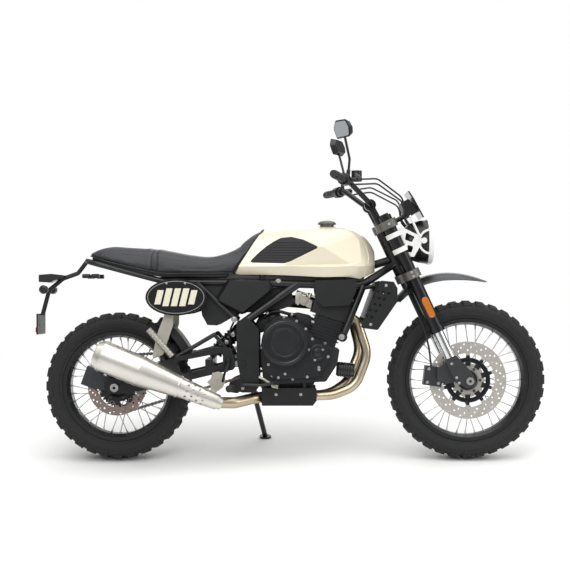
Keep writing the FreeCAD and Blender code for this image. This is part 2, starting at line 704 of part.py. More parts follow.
def silencer():
    along = SILENCER_OUT - SILENCER_IN
    length = along.Length
    start = SILENCER_IN + along * (SEAT_GAP / length)
    profile = [(0, 0), (0, 31), (30, 34), (165, 42), (170, 44), (320, SILENCER_R - 2), (340, SILENCER_R),
               (length - 24, SILENCER_R), (length, 50), (length, 26), (length - 50, 26), (length - 50, 0)]
    body = spun(profile, start, along)
    across = along.cross(Y).normalize()
    holes = []
    for row in range(4):
        at = start + along * ((62 + 24 * row) / length)
        hole = Part.makeCylinder(5, 30, at + across * 30, across)
        holes += around(hole, at, along, 10, 18 * row)
    return body.cut(Part.makeCompound(holes))


# Bodywork
def body_section(x, rows, top):
    """A cross-section of a body at x: rows are (half width, z) from the bottom up, closed by an arc over top."""
    right = [Vector(x, -w, z) for w, z in rows]
    left = [Vector(x, w, z) for w, z in rows]
    edges = [Part.LineSegment(left[0], right[0]).toShape()]
    edges += [Part.LineSegment(a, b).toShape() for a, b in zip(right, right[1:])]
    edges.append(Part.Arc(right[-1], Vector(x, 0, top), left[-1]).toShape())
    edges += [Part.LineSegment(a, b).toShape() for a, b in zip(left[::-1], left[-2::-1])]
    return Part.Wire(edges)


# Corners of the flat facets on the tank's right side. Three planes meet at the crease's apex.
APEX = Vector(850, -128, 880)
CREASE_FRONT = Vector(985, -71, 924)
CREASE_FOOT = Vector(963, -127, 808)
CREASE_REAR = Vector(690, -140, 812)
SHOULDER = Vector(860, -88, 935)
LIP = [Vector(700, -130, 809), Vector(1000, -130, 809), Vector(850, -151, 796)]


def beyond(a, b, c, facing):
    """A block on the outer side of the plane through three points, outer being the way that facing points."""
    normal = (b - a).cross(c - a).normalize()
    if normal.dot(facing) < 0:
        normal = normal * -1
    block = box((-400, -400, 0), (400, 400, 120))
    block.Placement = Placement(a, Rotation(Z, normal))
    return block


def tank_body():
    """The tank as a loft, with flat facets cut into each side above its lower lip."""
    sections = [
        body_section(440, [(86, 772), (92, 800), (80, 860)], 900),
        body_section(620, [(108, 766), (132, 800), (112, 905)], 955),
        body_section(740, [(120, 762), (146, 800), (118, 925)], 966),
        body_section(880, [(122, 757), (150, 800), (112, 922)], 970),
        body_section(980, [(104, 753), (132, 800), (88, 905)], 957),
        body_section(1040, [(70, 751), (92, 805), (56, 872)], 912),
        body_section(1066, [(36, 780), (52, 815), (34, 848)], 866),
    ]
    body = loft(sections)
    rear = side_plate([(486, 774), (612, 970), (612, 1100), (300, 1100), (300, 700), (486, 700)], -200, 200)
    tunnel = side_plate([(1110, 858), (990, 822), (700, 808), (700, 700), (1110, 700)], -26, 26)
    rails = side_plate([(1110, 700), (1110, 800), (1000, 746), (470, 752), (470, 700)], -200, 200)
    body = body.cut(Part.makeCompound([rear, tunnel, rails]))
    lip = beyond(*LIP, Vector(0, 0, -1))
    for corners in ((APEX, CREASE_FRONT, CREASE_FOOT), (APEX, CREASE_REAR, CREASE_FOOT),
                    (APEX, CREASE_FRONT, SHOULDER)):
        facet = beyond(*corners, -Y).cut(lip)
        body = body.cut(facet).cut(mirrored(facet))
    return body


KNEE = [(548, 816), (619, 912), (719, 921), (770, 909), (833, 878), (713, 819), (690, 812)]
KNEE_DEPTH = 116.0             # from the centre plane out to the pads' backs


def tank_and_pads():
    body = tank_body()
    cutter = pair(side_plate(KNEE, -200, -KNEE_DEPTH, 6))
    pads = body.common(cutter)
    tank = body.cut(cutter)
    cap = spun([(-20, 0), (-20, 29), (4, 29), (5, 38), (11, 38), (17, 32), (21, 16), (22, 0)], Vector(869, 0, 974), Z)
    feet = pair(Part.makeCompound([rod(Vector(x, 88, 734), Vector(x, 88, 790), 9) for x in (600, 950)]))
    tank = fuse([tank] + feet.Solids).cut(main_frame())
    cap = cap.cut(body)
    cap = sorted(cap.Solids, key=lambda s: s.BoundBox.ZMax)[-1]
    return tank, pads, cap


def seat():
    def section(x, half, low, high):
        rise = high - low
        return body_section(x, [(half * 0.86, low), (half, low + 0.3 * rise), (half * 0.9, high - 0.3 * rise)], high)

    rows = [
        section(-108, 84, 829, 858),
        section(-60, 104, 812, 881),
        section(63, 118, 782, 878),
        section(192, 128, 757, 869),
        section(300, 130, 757, 849),
        section(380, 126, 757, 841),
        section(440, 118, 758, 853),
        section(500, 106, 760, 880),
        section(560, 96, 770, 938),
        section(612, 88, 790, 962),
    ]
    body = loft(rows)
    front = side_plate([(484, 774), (610, 970), (700, 970), (700, 700), (484, 700)], -200, 200)
    front.translate(Vector(-SEAT_GAP, 0, 0))
    return body.cut(front).cut(subframe())


def side_covers():
    outer = [(461, 750), (633, 745), (645, 705), (519, 602), (404, 659)]
    centre = Vector(540, 0, 690)

    def wire(scale, y):
        points = [(centre.x + (x - centre.x) * scale, y, centre.z + (z - centre.z) * scale) for x, z in outer]
        return outline(points, 14)

    body = loft([wire(0.99, 104), wire(1.0, 114), wire(0.88, 132)], True)
    return pair(body.cut(main_frame()).cut(subframe()))


def number_plates():
    oval = Part.Wire(Part.Ellipse(O, 123, 74).toShape())
    disc = Part.Face(oval).extrude(Vector(0, 0, 5))
    disc.Placement = Placement(Vector(253, 170, 674), Rotation(X, 90))
    posts = [rod(Vector(x, 104 + SUBFRAME_R + SEAT_GAP, 730), Vector(x, 167, 730), 6) for x in (215, 290)]
    return pair(fuse([disc] + posts))


def inner_fender():
    """The black panels under the side covers, joined by a wall ahead of the rear wheel."""
    shape = [(470, 733), (332, 733), (352, 600), (374, 560), (415, 558), (494, 604)]
    inside = [(600, 760), (336, 760), (356, 602), (378, 564), (378, 500), (600, 500)]
    body = side_plate(shape, -88, 88).cut(side_plate(inside, -84, 84))
    return body.cut(subframe()).cut(main_frame()).cut(air_box())


def head_shrouds():
    """Smooth covers beside the cylinder head, carried on the frame's rails."""
    panel = side_plate([(812, 742), (980, 748), (985, 700), (958, 642), (850, 636), (822, 662)], -124, -119, 10)
    post = [rod(Vector(x, -90, 728), Vector(x, -121, 728), 6) for x in (850, 960)]
    return pair(fuse([panel] + post).cut(main_frame()))


def tail_hanger():
    arm = tube([(-139.5, 0, 822), (-175, 0, 775), (-239, 0, 752), (-297, 0, 703), (-324, 0, 600)], 9,
               [20, 40, 40])
    board = box((-334, -70, 520), (-328, 70, 606))
    holes = [rod(Vector(-340, y, 560), Vector(-320, y, 560), 3.5) for y in (-40, 40)]
    return fuse([arm, board]).cut(Part.makeCompound(holes)).cut(subframe())


def tail_light():
    """The lamp on top of the hanger and the reflector on the back of its board."""
    body = side_plate([(-331, 768), (-280, 772), (-226, 766), (-232, 756), (-292, 736), (-331, 738)], -42, 42, 3)
    block = box((-350, -22, 526), (-334 - SEAT_GAP, 22, 550))
    reflector = block.makeFillet(6, [e for e in block.Edges if e.BoundBox.XMax < -349])
    return Part.makeCompound([body.cut(tail_hanger()), reflector])


def rear_indicators():
    lamp = spun([(0, 0), (0, 6), (52, 6), (58, 16), (84, 18), (92, 10), (92, 0)], Vector(-300, 9, 706), Y)
    return pair(lamp.cut(tail_hanger()))


def rear_hugger():
    radius = REAR_TYRE_R + 12
    profile = [(-72, -30), (-60, 0), (60, 0), (72, -30), (76, -28), (63, 4), (-63, 4), (-76, -28)]
    corners = [Vector(radius + r + 14, y, 0) for y, r in profile]
    face = Part.Face(Part.makePolygon(corners + [corners[0]]))
    shell = face.revolve(O, Vector(0, -1, 0), 34)
    shell.Placement = Placement(REAR_AXLE, Rotation(Vector(0, -1, 0), 24))
    legs = [box((266, -104, 425), (286, -72, 452)), box((296, -104, 435), (312, -72, 462))]
    return fuse([shell] + legs).cut(swingarm())


def caliper(axle, y, angle, inner, outer, wide, disc_r):
    """A brake caliper that straddles its disc, set at an angle round the axle."""
    body = box((inner, y - wide / 2, -40), (outer, y + wide / 2, 40))
    slot = rod(Vector(0, y - DISC_T / 2 - 5, 0), Vector(0, y + DISC_T / 2 + 5, 0), disc_r + 5)
    bridge = body.cut(slot)
    bridge = bridge.cut(box((inner - 5, y - 12, -14), (outer - 14, y + 12, 14)))
    bridge.Placement = Placement(axle, Rotation(Y, -angle))
    return bridge


def front_caliper():
    return caliper(FRONT_AXLE, FRONT_DISC_Y, 173, 108, 184, CALIPER_W, FRONT_DISC_R)


def rear_caliper():
    body = caliper(REAR_AXLE, REAR_DISC_Y, 160, 76, 142, 38, REAR_DISC_R)
    plate = side_plate([(-95, 300), (-90, 370), (10, 330), (16, 296), (-10, 286)], -97.7, -90, 8)
    plate = plate.cut(rod(REAR_AXLE - Y * 110, REAR_AXLE, AXLE_R + SEAT_GAP))
    return fuse([body, plate])


def foot_controls():
    """Rider pegs on their plates, brake pedal and gear lever."""
    inner = PIVOT_PLATE_IN + PIVOT_PLATE_T + SEAT_GAP
    plate = side_plate([(470, 330), (520, 350), (530, 300), (500, 284), (455, 290)], inner, inner + 8, 10)
    peg = rod(Vector(485, inner + 4, 306), Vector(470, inner + 84, 308), 11)
    pedal = tube([(520, inner + 14, 320), (600, inner + 26, 318), (660, inner + 40, 330)], 6, 60)
    tip = rod(Vector(655, inner + 30, 330), Vector(655, inner + 66, 330), 8)
    pivot = rod(Vector(520, inner + 2, 320), Vector(520, inner + 20, 320), 9)
    right = fuse([plate, peg, pivot, pedal, tip])
    return pair(right)


def pillion_pegs():
    plate = side_plate([(205, 724), (240, 724), (236, 560), (196, 440), (150, 420), (170, 520), (200, 600)],
                       -123.3, -115.3, 8)
    peg = rod(Vector(140, -134, 540), Vector(232, -134, 436), 11)
    post = rod(Vector(180, -138, 490), Vector(180, -120, 490), 9)
    hanger = rod(Vector(165, -150, 436), Vector(165, -120, 436), 7)
    right = fuse([plate, peg, post])
    left = mirrored(right)
    return Part.makeCompound([fuse([right, hanger]).cut(silencer()).cut(subframe()), left.cut(subframe())])


# Steering
def triple_clamps():
    pieces = []
    for up in (LOWER_CLAMP_AT, UPPER_CLAMP_AT):
        low = up - CLAMP_T / 2
        bosses = [Part.makeCylinder(CLAMP_BOSS_R, CLAMP_T, Vector(-AXLE_LEAD, s * FORK_HALF, low)) for s in (-1, 1)]
        bridge = box((STEER_X - 26, -FORK_HALF, low), (-AXLE_LEAD + 12, FORK_HALF, low + CLAMP_T))
        neck = Part.makeCylinder(34, CLAMP_T, Vector(STEER_X, 0, low))
        holes = [Part.makeCylinder(FORK_OUTER_R + SEAT_GAP / 2, CLAMP_T, Vector(-AXLE_LEAD, s * FORK_HALF, low))
                 for s in (-1, 1)]
        pieces.append(fuse(bosses + [bridge, neck]).cut(Part.makeCompound(holes)))
    stem = Part.makeCylinder(STEM_R, UPPER_CLAMP_AT - LOWER_CLAMP_AT, Vector(STEER_X, 0, LOWER_CLAMP_AT))
    nut = Part.makeCylinder(20, 14, Vector(STEER_X, 0, UPPER_CLAMP_AT + CLAMP_T / 2))
    return in_fork(fuse(pieces + [stem, nut]))


def fork_outer_tubes():
    tube_out = Part.makeCylinder(FORK_OUTER_R, FORK_TOP - FORK_OUTER_FROM, Vector(-AXLE_LEAD, FORK_HALF, FORK_OUTER_FROM))
    collar = Part.makeCylinder(FORK_OUTER_R + 3, 26, Vector(-AXLE_LEAD, FORK_HALF, FORK_OUTER_FROM))
    bore = Part.makeCylinder(FORK_TUBE_R + SEAT_GAP, FORK_TOP - FORK_OUTER_FROM - 60,
                             Vector(-AXLE_LEAD, FORK_HALF, FORK_OUTER_FROM))
    cap = Part.makeCylinder(18, 8, Vector(-AXLE_LEAD, FORK_HALF, FORK_TOP))
    return in_fork(pair(fuse([tube_out, collar, cap]).cut(bore)))


def fork_legs():
    inner = Part.makeCylinder(FORK_TUBE_R, 430, Vector(-AXLE_LEAD, FORK_HALF, 90))
    foot = side_plate([(-56, 120), (-56, 20), (-20, -26), (20, -26), (24, 20), (-6, 120)],
                      FORK_HALF - FORK_FOOT_HALF, FORK_HALF + FORK_FOOT_HALF, 14)
    bore = Part.makeCylinder(AXLE_R + SEAT_GAP, 200, Vector(0, 0, 0), Y)
    lug_y = FRONT_DISC_Y - CALIPER_W / 2 - 1
    lug = side_plate([(-50, 112), (-50, 20), (-100, 30), (-118, 60), (-100, 100)], lug_y - 18, lug_y, 10)
    left = fuse([inner, foot]).cut(bore)
    right = fuse([mirrored(left), lug])
    return in_fork(Part.makeCompound([left, right]))


def front_fender():
    """A high mudguard carried under the lower clamp, lofted through arches that are placed from the front axle."""
    def arch(point, half, drop, slope):
        x, z = FRONT_AXLE.x + point[0], FRONT_AXLE.z + point[1]
        lean = math.radians(slope)

        def at(y, up):
            return Vector(x - up * math.sin(lean), y, z + up * math.cos(lean))

        outer = Part.Arc(at(-half, -drop), at(0, 0), at(half, -drop)).toShape()
        inner = Part.Arc(at(half - 4, -drop), at(0, -4), at(-half + 4, -drop)).toShape()
        join_a = Part.LineSegment(at(half, -drop), at(half - 4, -drop)).toShape()
        join_b = Part.LineSegment(at(-half + 4, -drop), at(-half, -drop)).toShape()
        return Part.Wire([outer, join_a, inner, join_b])

    wires = [
        arch((-298, 333), 50, 22, 58),
        arch((-266, 374), 58, 30, 46),
        arch((-228, 407), 62, 34, 30),
        arch((-150, 439), 62, 36, 14),
        arch((-60, 447), 60, 32, -4),
        arch((22, 434), 50, 20, -16),
        arch((90, 411), 30, 6, -24),
    ]
    under = LOWER_CLAMP_AT - CLAMP_T / 2 - SEAT_GAP
    posts = [Part.makeCylinder(9, 34, Vector(STEER_X + 12 * t, 24 * s, under - 34)) for s in (-1, 1) for t in (-1, 1)]
    return fuse([loft(wires)] + [in_fork(post) for post in posts])


def bar_tube(radius):
    left = [BAR_END, BAR_BEND, BAR_CENTRE + Y * 92]
    right = [Vector(p.x, -p.y, p.z) for p in reversed(left)]
    return tube(left + right, radius, [80, 50, 50, 80])


def handlebar():
    bar = bar_tube(BAR_R)
    clamps = []
    for s in (-1, 1):
        low = fork_point(STEER_X, s * 50, UPPER_CLAMP_AT + CLAMP_T / 2 + SEAT_GAP)
        centre = BAR_CENTRE + Y * (s * 50)
        post = rod(low, centre, 15)
        ring = rod(centre - Y * 16, centre + Y * 16, 24)
        clamps.append(fuse([post, ring]))
    return fuse([bar] + clamps).cut(triple_clamps())


def bar_run(y):
    """The point on the right-hand grip's run of the handlebar at a distance y from the centre plane."""
    run = BAR_BEND - BAR_END
    point = BAR_END + run * ((BAR_HALF - y) / (BAR_HALF - BEND_Y))
    return Vector(point.x, -y, point.z)


def hand_grips():
    grip = rod(bar_run(BAR_HALF - 2), bar_run(BAR_HALF - GRIP_LENGTH), GRIP_R)
    grip = grip.cut(rod(bar_run(BAR_HALF + 8), bar_run(BAR_HALF - GRIP_LENGTH - 8), BAR_R + GRIP_GAP))
    weight = rod(bar_run(BAR_HALF + 0.5), bar_run(BAR_HALF + 15), 15)
    return Part.makeCompound([grip, mirrored(grip), weight, mirrored(weight)])


def hand_controls():
    """Switch housing, perch and lever on each side, and the brake reservoir on the right."""
    bore = bar_tube(BAR_R + GRIP_GAP)
    switch = rod(bar_run(BAR_HALF - GRIP_LENGTH - 2), bar_run(BAR_HALF - GRIP_LENGTH - 42), 24)
    perch_at = bar_run(BAR_HALF - GRIP_LENGTH - 60)
    perch = rod(bar_run(BAR_HALF - GRIP_LENGTH - 46), bar_run(BAR_HALF - GRIP_LENGTH - 70), 18)
    arm = rod(perch_at, perch_at + Vector(44, -8, 6), 10)
    knuckle = perch_at + Vector(44, -8, 6)
    lever = tube([(knuckle.x, knuckle.y, knuckle.z), (knuckle.x + 4, knuckle.y - 60, knuckle.z - 2),
                  (knuckle.x - 22, knuckle.y - 172, knuckle.z)], 5, 60)
    right = fuse([switch, perch, arm, lever]).cut(bore)
    pot = rod(perch_at + Vector(40, 10, -2), perch_at + Vector(40, 10, 40), 21)
    left = mirrored(right)
    return Part.makeCompound([fuse([right, pot]).cut(bore), left])


def mirrors():
    """Stem, housing and glass on each side, the heads turned a little outwards."""
    foot = bar_run(BAR_HALF - GRIP_LENGTH - 56) + Vector(6, 0, 18 + SEAT_GAP)
    boss = rod(foot, foot + Vector(2, 0, 24), 8)
    top = foot + Vector(-26, -34, 176)
    stem = tube([foot + Vector(2, 0, 18), foot + Vector(6, -6, 66), top + Vector(10, 4, -16)], 5, 40)
    faces = Rotation(Z, MIRROR_TURN).multiply(Rotation(Y, -12))
    shape = outline([(0, -52, -30), (0, 44, -30), (0, 58, 12), (0, 34, 44), (0, -40, 40), (0, -58, 8)], 12)
    shell = loft([shape, outline([(22, -40, -22), (22, 34, -22), (22, 46, 10), (22, 26, 34), (22, -30, 31),
                                  (22, -46, 6)], 12)], True)
    glass = Part.Face(outline([(0, -46, -24), (0, 39, -24), (0, 52, 11), (0, 31, 38), (0, -36, 34), (0, -51, 7)], 10))
    glass = glass.extrude(Vector(-2, 0, 0))
    shell.Placement = Placement(top, faces)
    glass.Placement = Placement(top + faces.multVec(Vector(-SEAT_GAP, 0, 0)), faces)
    return pair(fuse([boss, stem, shell])), pair(glass)


LAMP = FRONT_AXLE + Vector(-186, 0, 576)
LAMP_R = 92.0


def from_lamp(points):
    """Side view points given from the middle of the headlight."""
    return [(LAMP.x + p[0], LAMP.z + p[1], *p[2:]) for p in points]


def headlight_shell():
    profile = [(-84, 0), (-84, 40), (-58, 74), (-10, LAMP_R - 4), (20, LAMP_R), (34, LAMP_R), (34, LAMP_R - 8),
               (26, LAMP_R - 8), (26, 0)]
    return spun(profile, LAMP, X)


def headlight_lens():
    inner = LAMP_R - 8 - SEAT_GAP
    profile = [(26 + SEAT_GAP, 0), (26 + SEAT_GAP, inner), (34, inner), (40, inner * 0.6), (42, 0)]
    return spun(profile, LAMP, X)


def headlight_bracket():
    """Rings on the fork tubes, a pierced plate, a stay and a curved arm that hold the lamp on each side."""
    inner, outer = FORK_HALF - 3, FORK_HALF + 3
    ring_low = fork_point(-AXLE_LEAD, FORK_HALF, 596)
    rings = [rod(ring_low + STEER_AXIS * up, ring_low + STEER_AXIS * (up + 20), FORK_OUTER_R + 6) for up in (0, 66)]
    plate = side_plate(from_lamp([(-100, 59), (-20, 21), (-2, 0), (-42, -69), (-84, -57), (-114, 13)]), inner, outer, 8)
    stay = rod(LAMP + Vector(-16, FORK_HALF, 15), LAMP + Vector(-58, FORK_HALF, 103), 5)
    knob = rod(LAMP + Y * (LAMP_R - 12), LAMP + Y * (FORK_HALF + 12), 12)
    bend = LAMP + Vector(30, 0, -4)
    curve = rod(bend + Y * inner, bend + Y * outer, 54).cut(rod(bend + Y * inner, bend + Y * outer, 45))
    curve = curve.common(side_plate(from_lamp([(-40, 70), (26, 70), (26, -80), (-40, -80)]), inner, outer))
    hole = rod(fork_point(-AXLE_LEAD, FORK_HALF, 500), fork_point(-AXLE_LEAD, FORK_HALF, FORK_TOP + 20),
               FORK_OUTER_R + SEAT_GAP / 2)
    windows = [side_plate(from_lamp([(-74, 33), (-38, 15), (-50, -7), (-78, 3)]), 0, 200, 5),
               side_plate(from_lamp([(-68, -17), (-44, -25), (-52, -51), (-68, -45)]), 0, 200, 5)]
    side = fuse(rings + [plate, knob, stay, curve])
    return pair(side.cut(hole).cut(Part.makeCompound(windows)).cut(headlight_shell()))


def instrument():
    body = side_plate(from_lamp([(-91, 157), (-57, 176), (-16, 125), (-64, 93)]), -52, 52, 8)
    arm = rod(LAMP + Vector(-59, 0, 113), fork_point(-AXLE_LEAD, 0, UPPER_CLAMP_AT), 10)
    return fuse([body, arm]).cut(triple_clamps())


def flyscreen():
    blade = side_plate(from_lamp([(-64, 205), (-58, 206), (-38, 175), (4, 98), (-2, 96), (-43, 171)]), -78, 78)
    return blade.cut(instrument())


def bar_cables():
    """Two cables on each side, from the lever's perch forward over the fork and down to the back of the lamp."""
    cables = []
    for drop, aside in ((0, 64), (20, 78)):
        start = bar_run(BAR_HALF - GRIP_LENGTH - 60) + Vector(30, -4, 4 - drop)
        path = [start, start + Vector(96, 56, 10), Vector(LAMP.x - 84, -aside - 16, LAMP.z + 176 - drop),
                Vector(LAMP.x - 76, -aside, LAMP.z + 96 - drop / 2), Vector(LAMP.x - 20, -aside + 8, LAMP.z + 20)]
        cables.append(tube(path, 3.5, [60, 50, 40]))
    right = Part.makeCompound(cables).cut(hand_controls()).cut(headlight_shell())
    return pair(right)


def brake_hose():
    """From the front caliper up behind the right fork tube to the lower clamp."""
    top = LOWER_CLAMP_AT - CLAMP_T / 2
    path = [(-118, -76, 108), (-92, -86, 190), (-74, -92, 280), (-74, -90, top + 8)]
    return in_fork(tube(path, 4, [60, 80])).cut(front_caliper()).cut(triple_clamps())


def fork_reflectors():
    amber = box((-AXLE_LEAD - 12, FORK_HALF + FORK_OUTER_R - 2, 300), (-AXLE_LEAD + 16, FORK_HALF + FORK_OUTER_R + 8, 392))
    return in_fork(pair(amber)).cut(fork_outer_tubes())


def side_stand():
    foot = Vector(STAND_FOOT_X, STAND_FOOT_Y, STAND_FOOT_Y * math.tan(TILT))
    normal = Vector(0, -math.sin(TILT), math.cos(TILT))
    pad = Part.makeCylinder(STAND_FOOT_R, STAND_FOOT_T, foot, normal)
    leg = rod(STAND_PIVOT, foot + normal * (STAND_FOOT_T / 2), STAND_LEG_R)
    down = (foot - STAND_PIVOT).normalize()
    axis = down.cross(STAND_FOLDED).normalize()
    hub = Part.makeCylinder(STAND_HUB_R, STAND_HUB_L, STAND_PIVOT - axis * (STAND_HUB_L / 2), axis)
    return fuse([pad, leg, hub]), axis


def build():
    tank, pads, cap = tank_and_pads()
    mirror_heads, mirror_glasses = mirrors()
    stand, _ = side_stand()
    return {
        "front_tyre": tyre(FRONT_AXLE, FRONT_SECTION, FRONT_LUGS),
        "front_wire_wheel": wire_wheel(FRONT_AXLE, FRONT_RIM_R, FRONT_RIM_W, FRONT_HUB_R, FRONT_FLANGE_R, FRONT_HUB_W),
        "front_disc": brake_disc(FRONT_AXLE, FRONT_DISC_Y, FRONT_DISC_R, FRONT_DISC_IN, 44,
                                 -FRONT_HUB_W / 2 - SEAT_GAP, 10, 20),
        "rear_tyre": tyre(REAR_AXLE, REAR_SECTION, REAR_LUGS),
        "rear_wire_wheel": wire_wheel(REAR_AXLE, REAR_RIM_R, REAR_RIM_W, REAR_HUB_R, REAR_FLANGE_R, REAR_HUB_W),
        "rear_disc": brake_disc(REAR_AXLE, REAR_DISC_Y, REAR_DISC_R, REAR_DISC_IN, 44,
                                -REAR_HUB_W / 2 - SEAT_GAP, 6, 16),
        "rear_sprocket": sprocket(REAR_AXLE),
        "main_frame": main_frame(),
        "subframe": subframe(),
        "swingarm": swingarm(),
        "rear_axle": rear_axle(),
        "rear_shock": rear_shock(),
        "chain": chain(),
        "crankcase": crankcase(),
        "side_casings": side_casings(),
        "cylinder_block": cylinder_block(),
        "cylinder_head": cylinder_head(),
        "head_cover": head_cover(),
        "oil_filter": oil_filter(),
        "air_box": air_box(),
        "radiator": radiator(),
        "radiator_guards": radiator_guards(),
        "sump_guard": sump_guard(),
        "exhaust_headers": exhaust_headers(),
        "silencer": silencer(),
        "fuel_tank": tank,
        "knee_pads": pads,
        "fuel_cap": cap,
        "seat": seat(),
        "side_covers": side_covers(),
        "number_plates": number_plates(),
        "inner_fender": inner_fender(),
        "head_shrouds": head_shrouds(),
        "tail_hanger": tail_hanger(),
        "tail_light": tail_light(),
        "rear_indicators": rear_indicators(),
        "rear_hugger": rear_hugger(),
        "rear_caliper": rear_caliper(),
        "foot_controls": foot_controls(),
        "pillion_pegs": pillion_pegs(),
        "triple_clamps": triple_clamps(),
        "fork_outer_tubes": fork_outer_tubes(),
        "fork_legs": fork_legs(),
        "front_axle": front_axle(),
        "front_fender": front_fender(),
        "front_caliper": front_caliper(),
        "handlebar": handlebar(),
        "hand_grips": hand_grips(),
        "hand_controls": hand_controls(),
        "mirrors": mirror_heads,
        "mirror_glasses": mirror_glasses,
        "headlight_shell": headlight_shell(),
        "headlight_lens": headlight_lens(),
        "headlight_bracket": headlight_bracket(),
        "instrument": instrument(),
        "flyscreen": flyscreen(),
        "bar_cables": bar_cables(),
        "brake_hose": brake_hose(),
        "fork_reflectors": fork_reflectors(),
        "side_stand": stand,
    }


def leaned(shapes):
    """Lays the upright machine over onto its stand and moves the middle of its footprint to the origin."""
    tilt = Placement(O, Rotation(X, -LEAN))
    whole = Part.makeCompound(list(shapes.values()))
    whole.Placement = tilt.multiply(whole.Placement)
    extent = whole.optimalBoundingBox(False, False)
    shift = Vector(-(extent.XMin + extent.XMax) / 2, -(extent.YMin + extent.YMax) / 2, -extent.ZMin)
    return Placement(shift, Rotation(X, -LEAN))


parts = build()
park = leaned(parts)
os.makedirs("parts", exist_ok=True)
for name, shape in parts.items():
    placed = shape.copy()
    placed.Placement = park.multiply(placed.Placement)
    placed.exportStep("parts/" + name + ".step")
    print(name, len(placed.Solids), "solids", placed.isValid(), round(placed.Volume / 1000), "cm3")
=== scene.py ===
# %% [markdown]
# A two-cylinder street motorcycle, parked on its side stand
#
# The imported model holds every solid piece at its real place. This notebook gives those pieces their
# finishes, and adds what a solid model is a poor tool for: tread blocks, a stitched seat, chain
# links, bolts, nipples and fins. The first cell loads the model.

# %% Load the imported model
import bmesh
import bpy
import json
import math
from mathutils import Matrix, Vector, noise
from mathutils.bvhtree import BVHTree


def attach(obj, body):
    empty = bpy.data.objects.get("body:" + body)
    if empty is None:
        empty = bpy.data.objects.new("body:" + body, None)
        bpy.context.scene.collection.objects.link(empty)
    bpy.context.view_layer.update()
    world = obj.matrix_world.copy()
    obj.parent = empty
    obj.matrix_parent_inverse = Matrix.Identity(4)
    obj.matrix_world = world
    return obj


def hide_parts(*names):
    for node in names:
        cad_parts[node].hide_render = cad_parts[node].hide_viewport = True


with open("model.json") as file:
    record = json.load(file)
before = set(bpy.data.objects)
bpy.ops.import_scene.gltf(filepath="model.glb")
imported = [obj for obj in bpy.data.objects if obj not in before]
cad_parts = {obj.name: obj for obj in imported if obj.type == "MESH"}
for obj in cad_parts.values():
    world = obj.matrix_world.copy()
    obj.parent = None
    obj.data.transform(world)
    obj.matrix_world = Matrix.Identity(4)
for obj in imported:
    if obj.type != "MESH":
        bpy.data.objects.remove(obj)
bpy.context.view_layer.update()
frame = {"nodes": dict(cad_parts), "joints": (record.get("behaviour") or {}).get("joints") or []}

NODES = frame["nodes"]

# %% [markdown]
# The machine leans, but it is far easier to think of it upright. So every piece below is drawn on the
# upright machine, in millimetres: x runs forward from the rear axle, y to the rider's left, z up.
# One matrix then leans it onto its stand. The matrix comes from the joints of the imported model.

# %% From the upright machine to the parked one
JOINTS = {joint["name"]: joint for joint in frame["joints"]}
STAND_PIVOT_UP = 250.0      # how high the stand's pivot is on the upright machine

spin = JOINTS["rear_wheel_spin"]
LEAN = math.atan2(-spin["axis"][2], spin["axis"][1])
TURN = Matrix.Rotation(-LEAN, 4, "X")
rear_axle_at = Vector(spin["pos_m"])
stand_from_axle = TURN.inverted() @ (Vector(JOINTS["side_stand_fold"]["pos_m"]) - rear_axle_at) * 1000
REAR_AXLE = Vector((0, 0, STAND_PIVOT_UP - stand_from_axle.z))
PARK = Matrix.Translation(rear_axle_at) @ TURN @ Matrix.Scale(0.001, 4) @ Matrix.Translation(-REAR_AXLE)
FRONT_AXLE = PARK.inverted() @ Vector(JOINTS["front_wheel_spin"]["pos_m"])
print("lean", round(math.degrees(LEAN), 2), "rear axle", REAR_AXLE[:], "front axle", FRONT_AXLE[:])

# %% [markdown]
# The fork is drawn in a frame of its own: up its tubes from the front axle, and forward of them.

# %% The fork's own frame
RAKE = math.radians(25.0)
FORK_LEAD = 30.0            # how far the axle lies ahead of the tubes
FORK = Matrix.Translation(FRONT_AXLE) @ Matrix.Rotation(-RAKE, 4, "Y")

def on_fork(forward, y, up):
    return FORK @ Vector((forward, y, up))

# %% [markdown]
# Two small functions carry the whole notebook. The first turns a colour as written on screen into the
# linear values that a renderer adds up. The second adds one node, with its settings and its links.

# %% Colours and nodes
def linear(code):
    channels = [int(code[i:i + 2], 16) / 255 for i in (1, 3, 5)]
    return [c / 12.92 if c <= 0.04045 else ((c + 0.055) / 1.055) ** 2.4 for c in channels] + [1.0]

def add(tree, kind, inputs=None, **settings):
    node = tree.nodes.new(kind)
    for name, value in settings.items():
        setattr(node, name, value)
    for name, value in (inputs or {}).items():
        socket = node.inputs[name]
        if isinstance(value, bpy.types.NodeSocket):
            tree.links.new(value, socket)
        else:
            socket.default_value = value
    return node

# %% [markdown]
# Most finishes on a machine are one idea with other numbers: a colour that drifts a little over the
# piece, and a fine grain whose size is real, such as the 0.6 mm ripple of powder coat or the 1.2 mm
# grit of a sand casting. A pattern's scale counts cycles in a metre, so 1000 / mm gives it. No real
# edge is as sharp as a computed one, so a Bevel node also rounds the edges that the light falls on.

# %% The common finish
MIX_A, MIX_B, MIX_OUT = 6, 7, 2     # the colour sockets of a Mix node, which share their names with others

def blank(name):
    """A new material, its tree, and where a point lies on the machine, in metres."""
    material = bpy.data.materials.new(name)
    material.use_nodes = True
    tree = material.node_tree
    tree.nodes.clear()
    return material, tree, add(tree, "ShaderNodeTexCoord").outputs["Object"]

def surfaced(material, inputs):
    """The material, with a Principled surface of these inputs."""
    shader = add(material.node_tree, "ShaderNodeBsdfPrincipled", inputs)
    add(material.node_tree, "ShaderNodeOutputMaterial", {"Surface": shader.outputs["BSDF"]})
    return material

def mixed(tree, factor, a, b):
    inputs = {"Factor": factor, MIX_A: a, MIX_B: b}
    return add(tree, "ShaderNodeMix", inputs, data_type="RGBA").outputs[MIX_OUT]

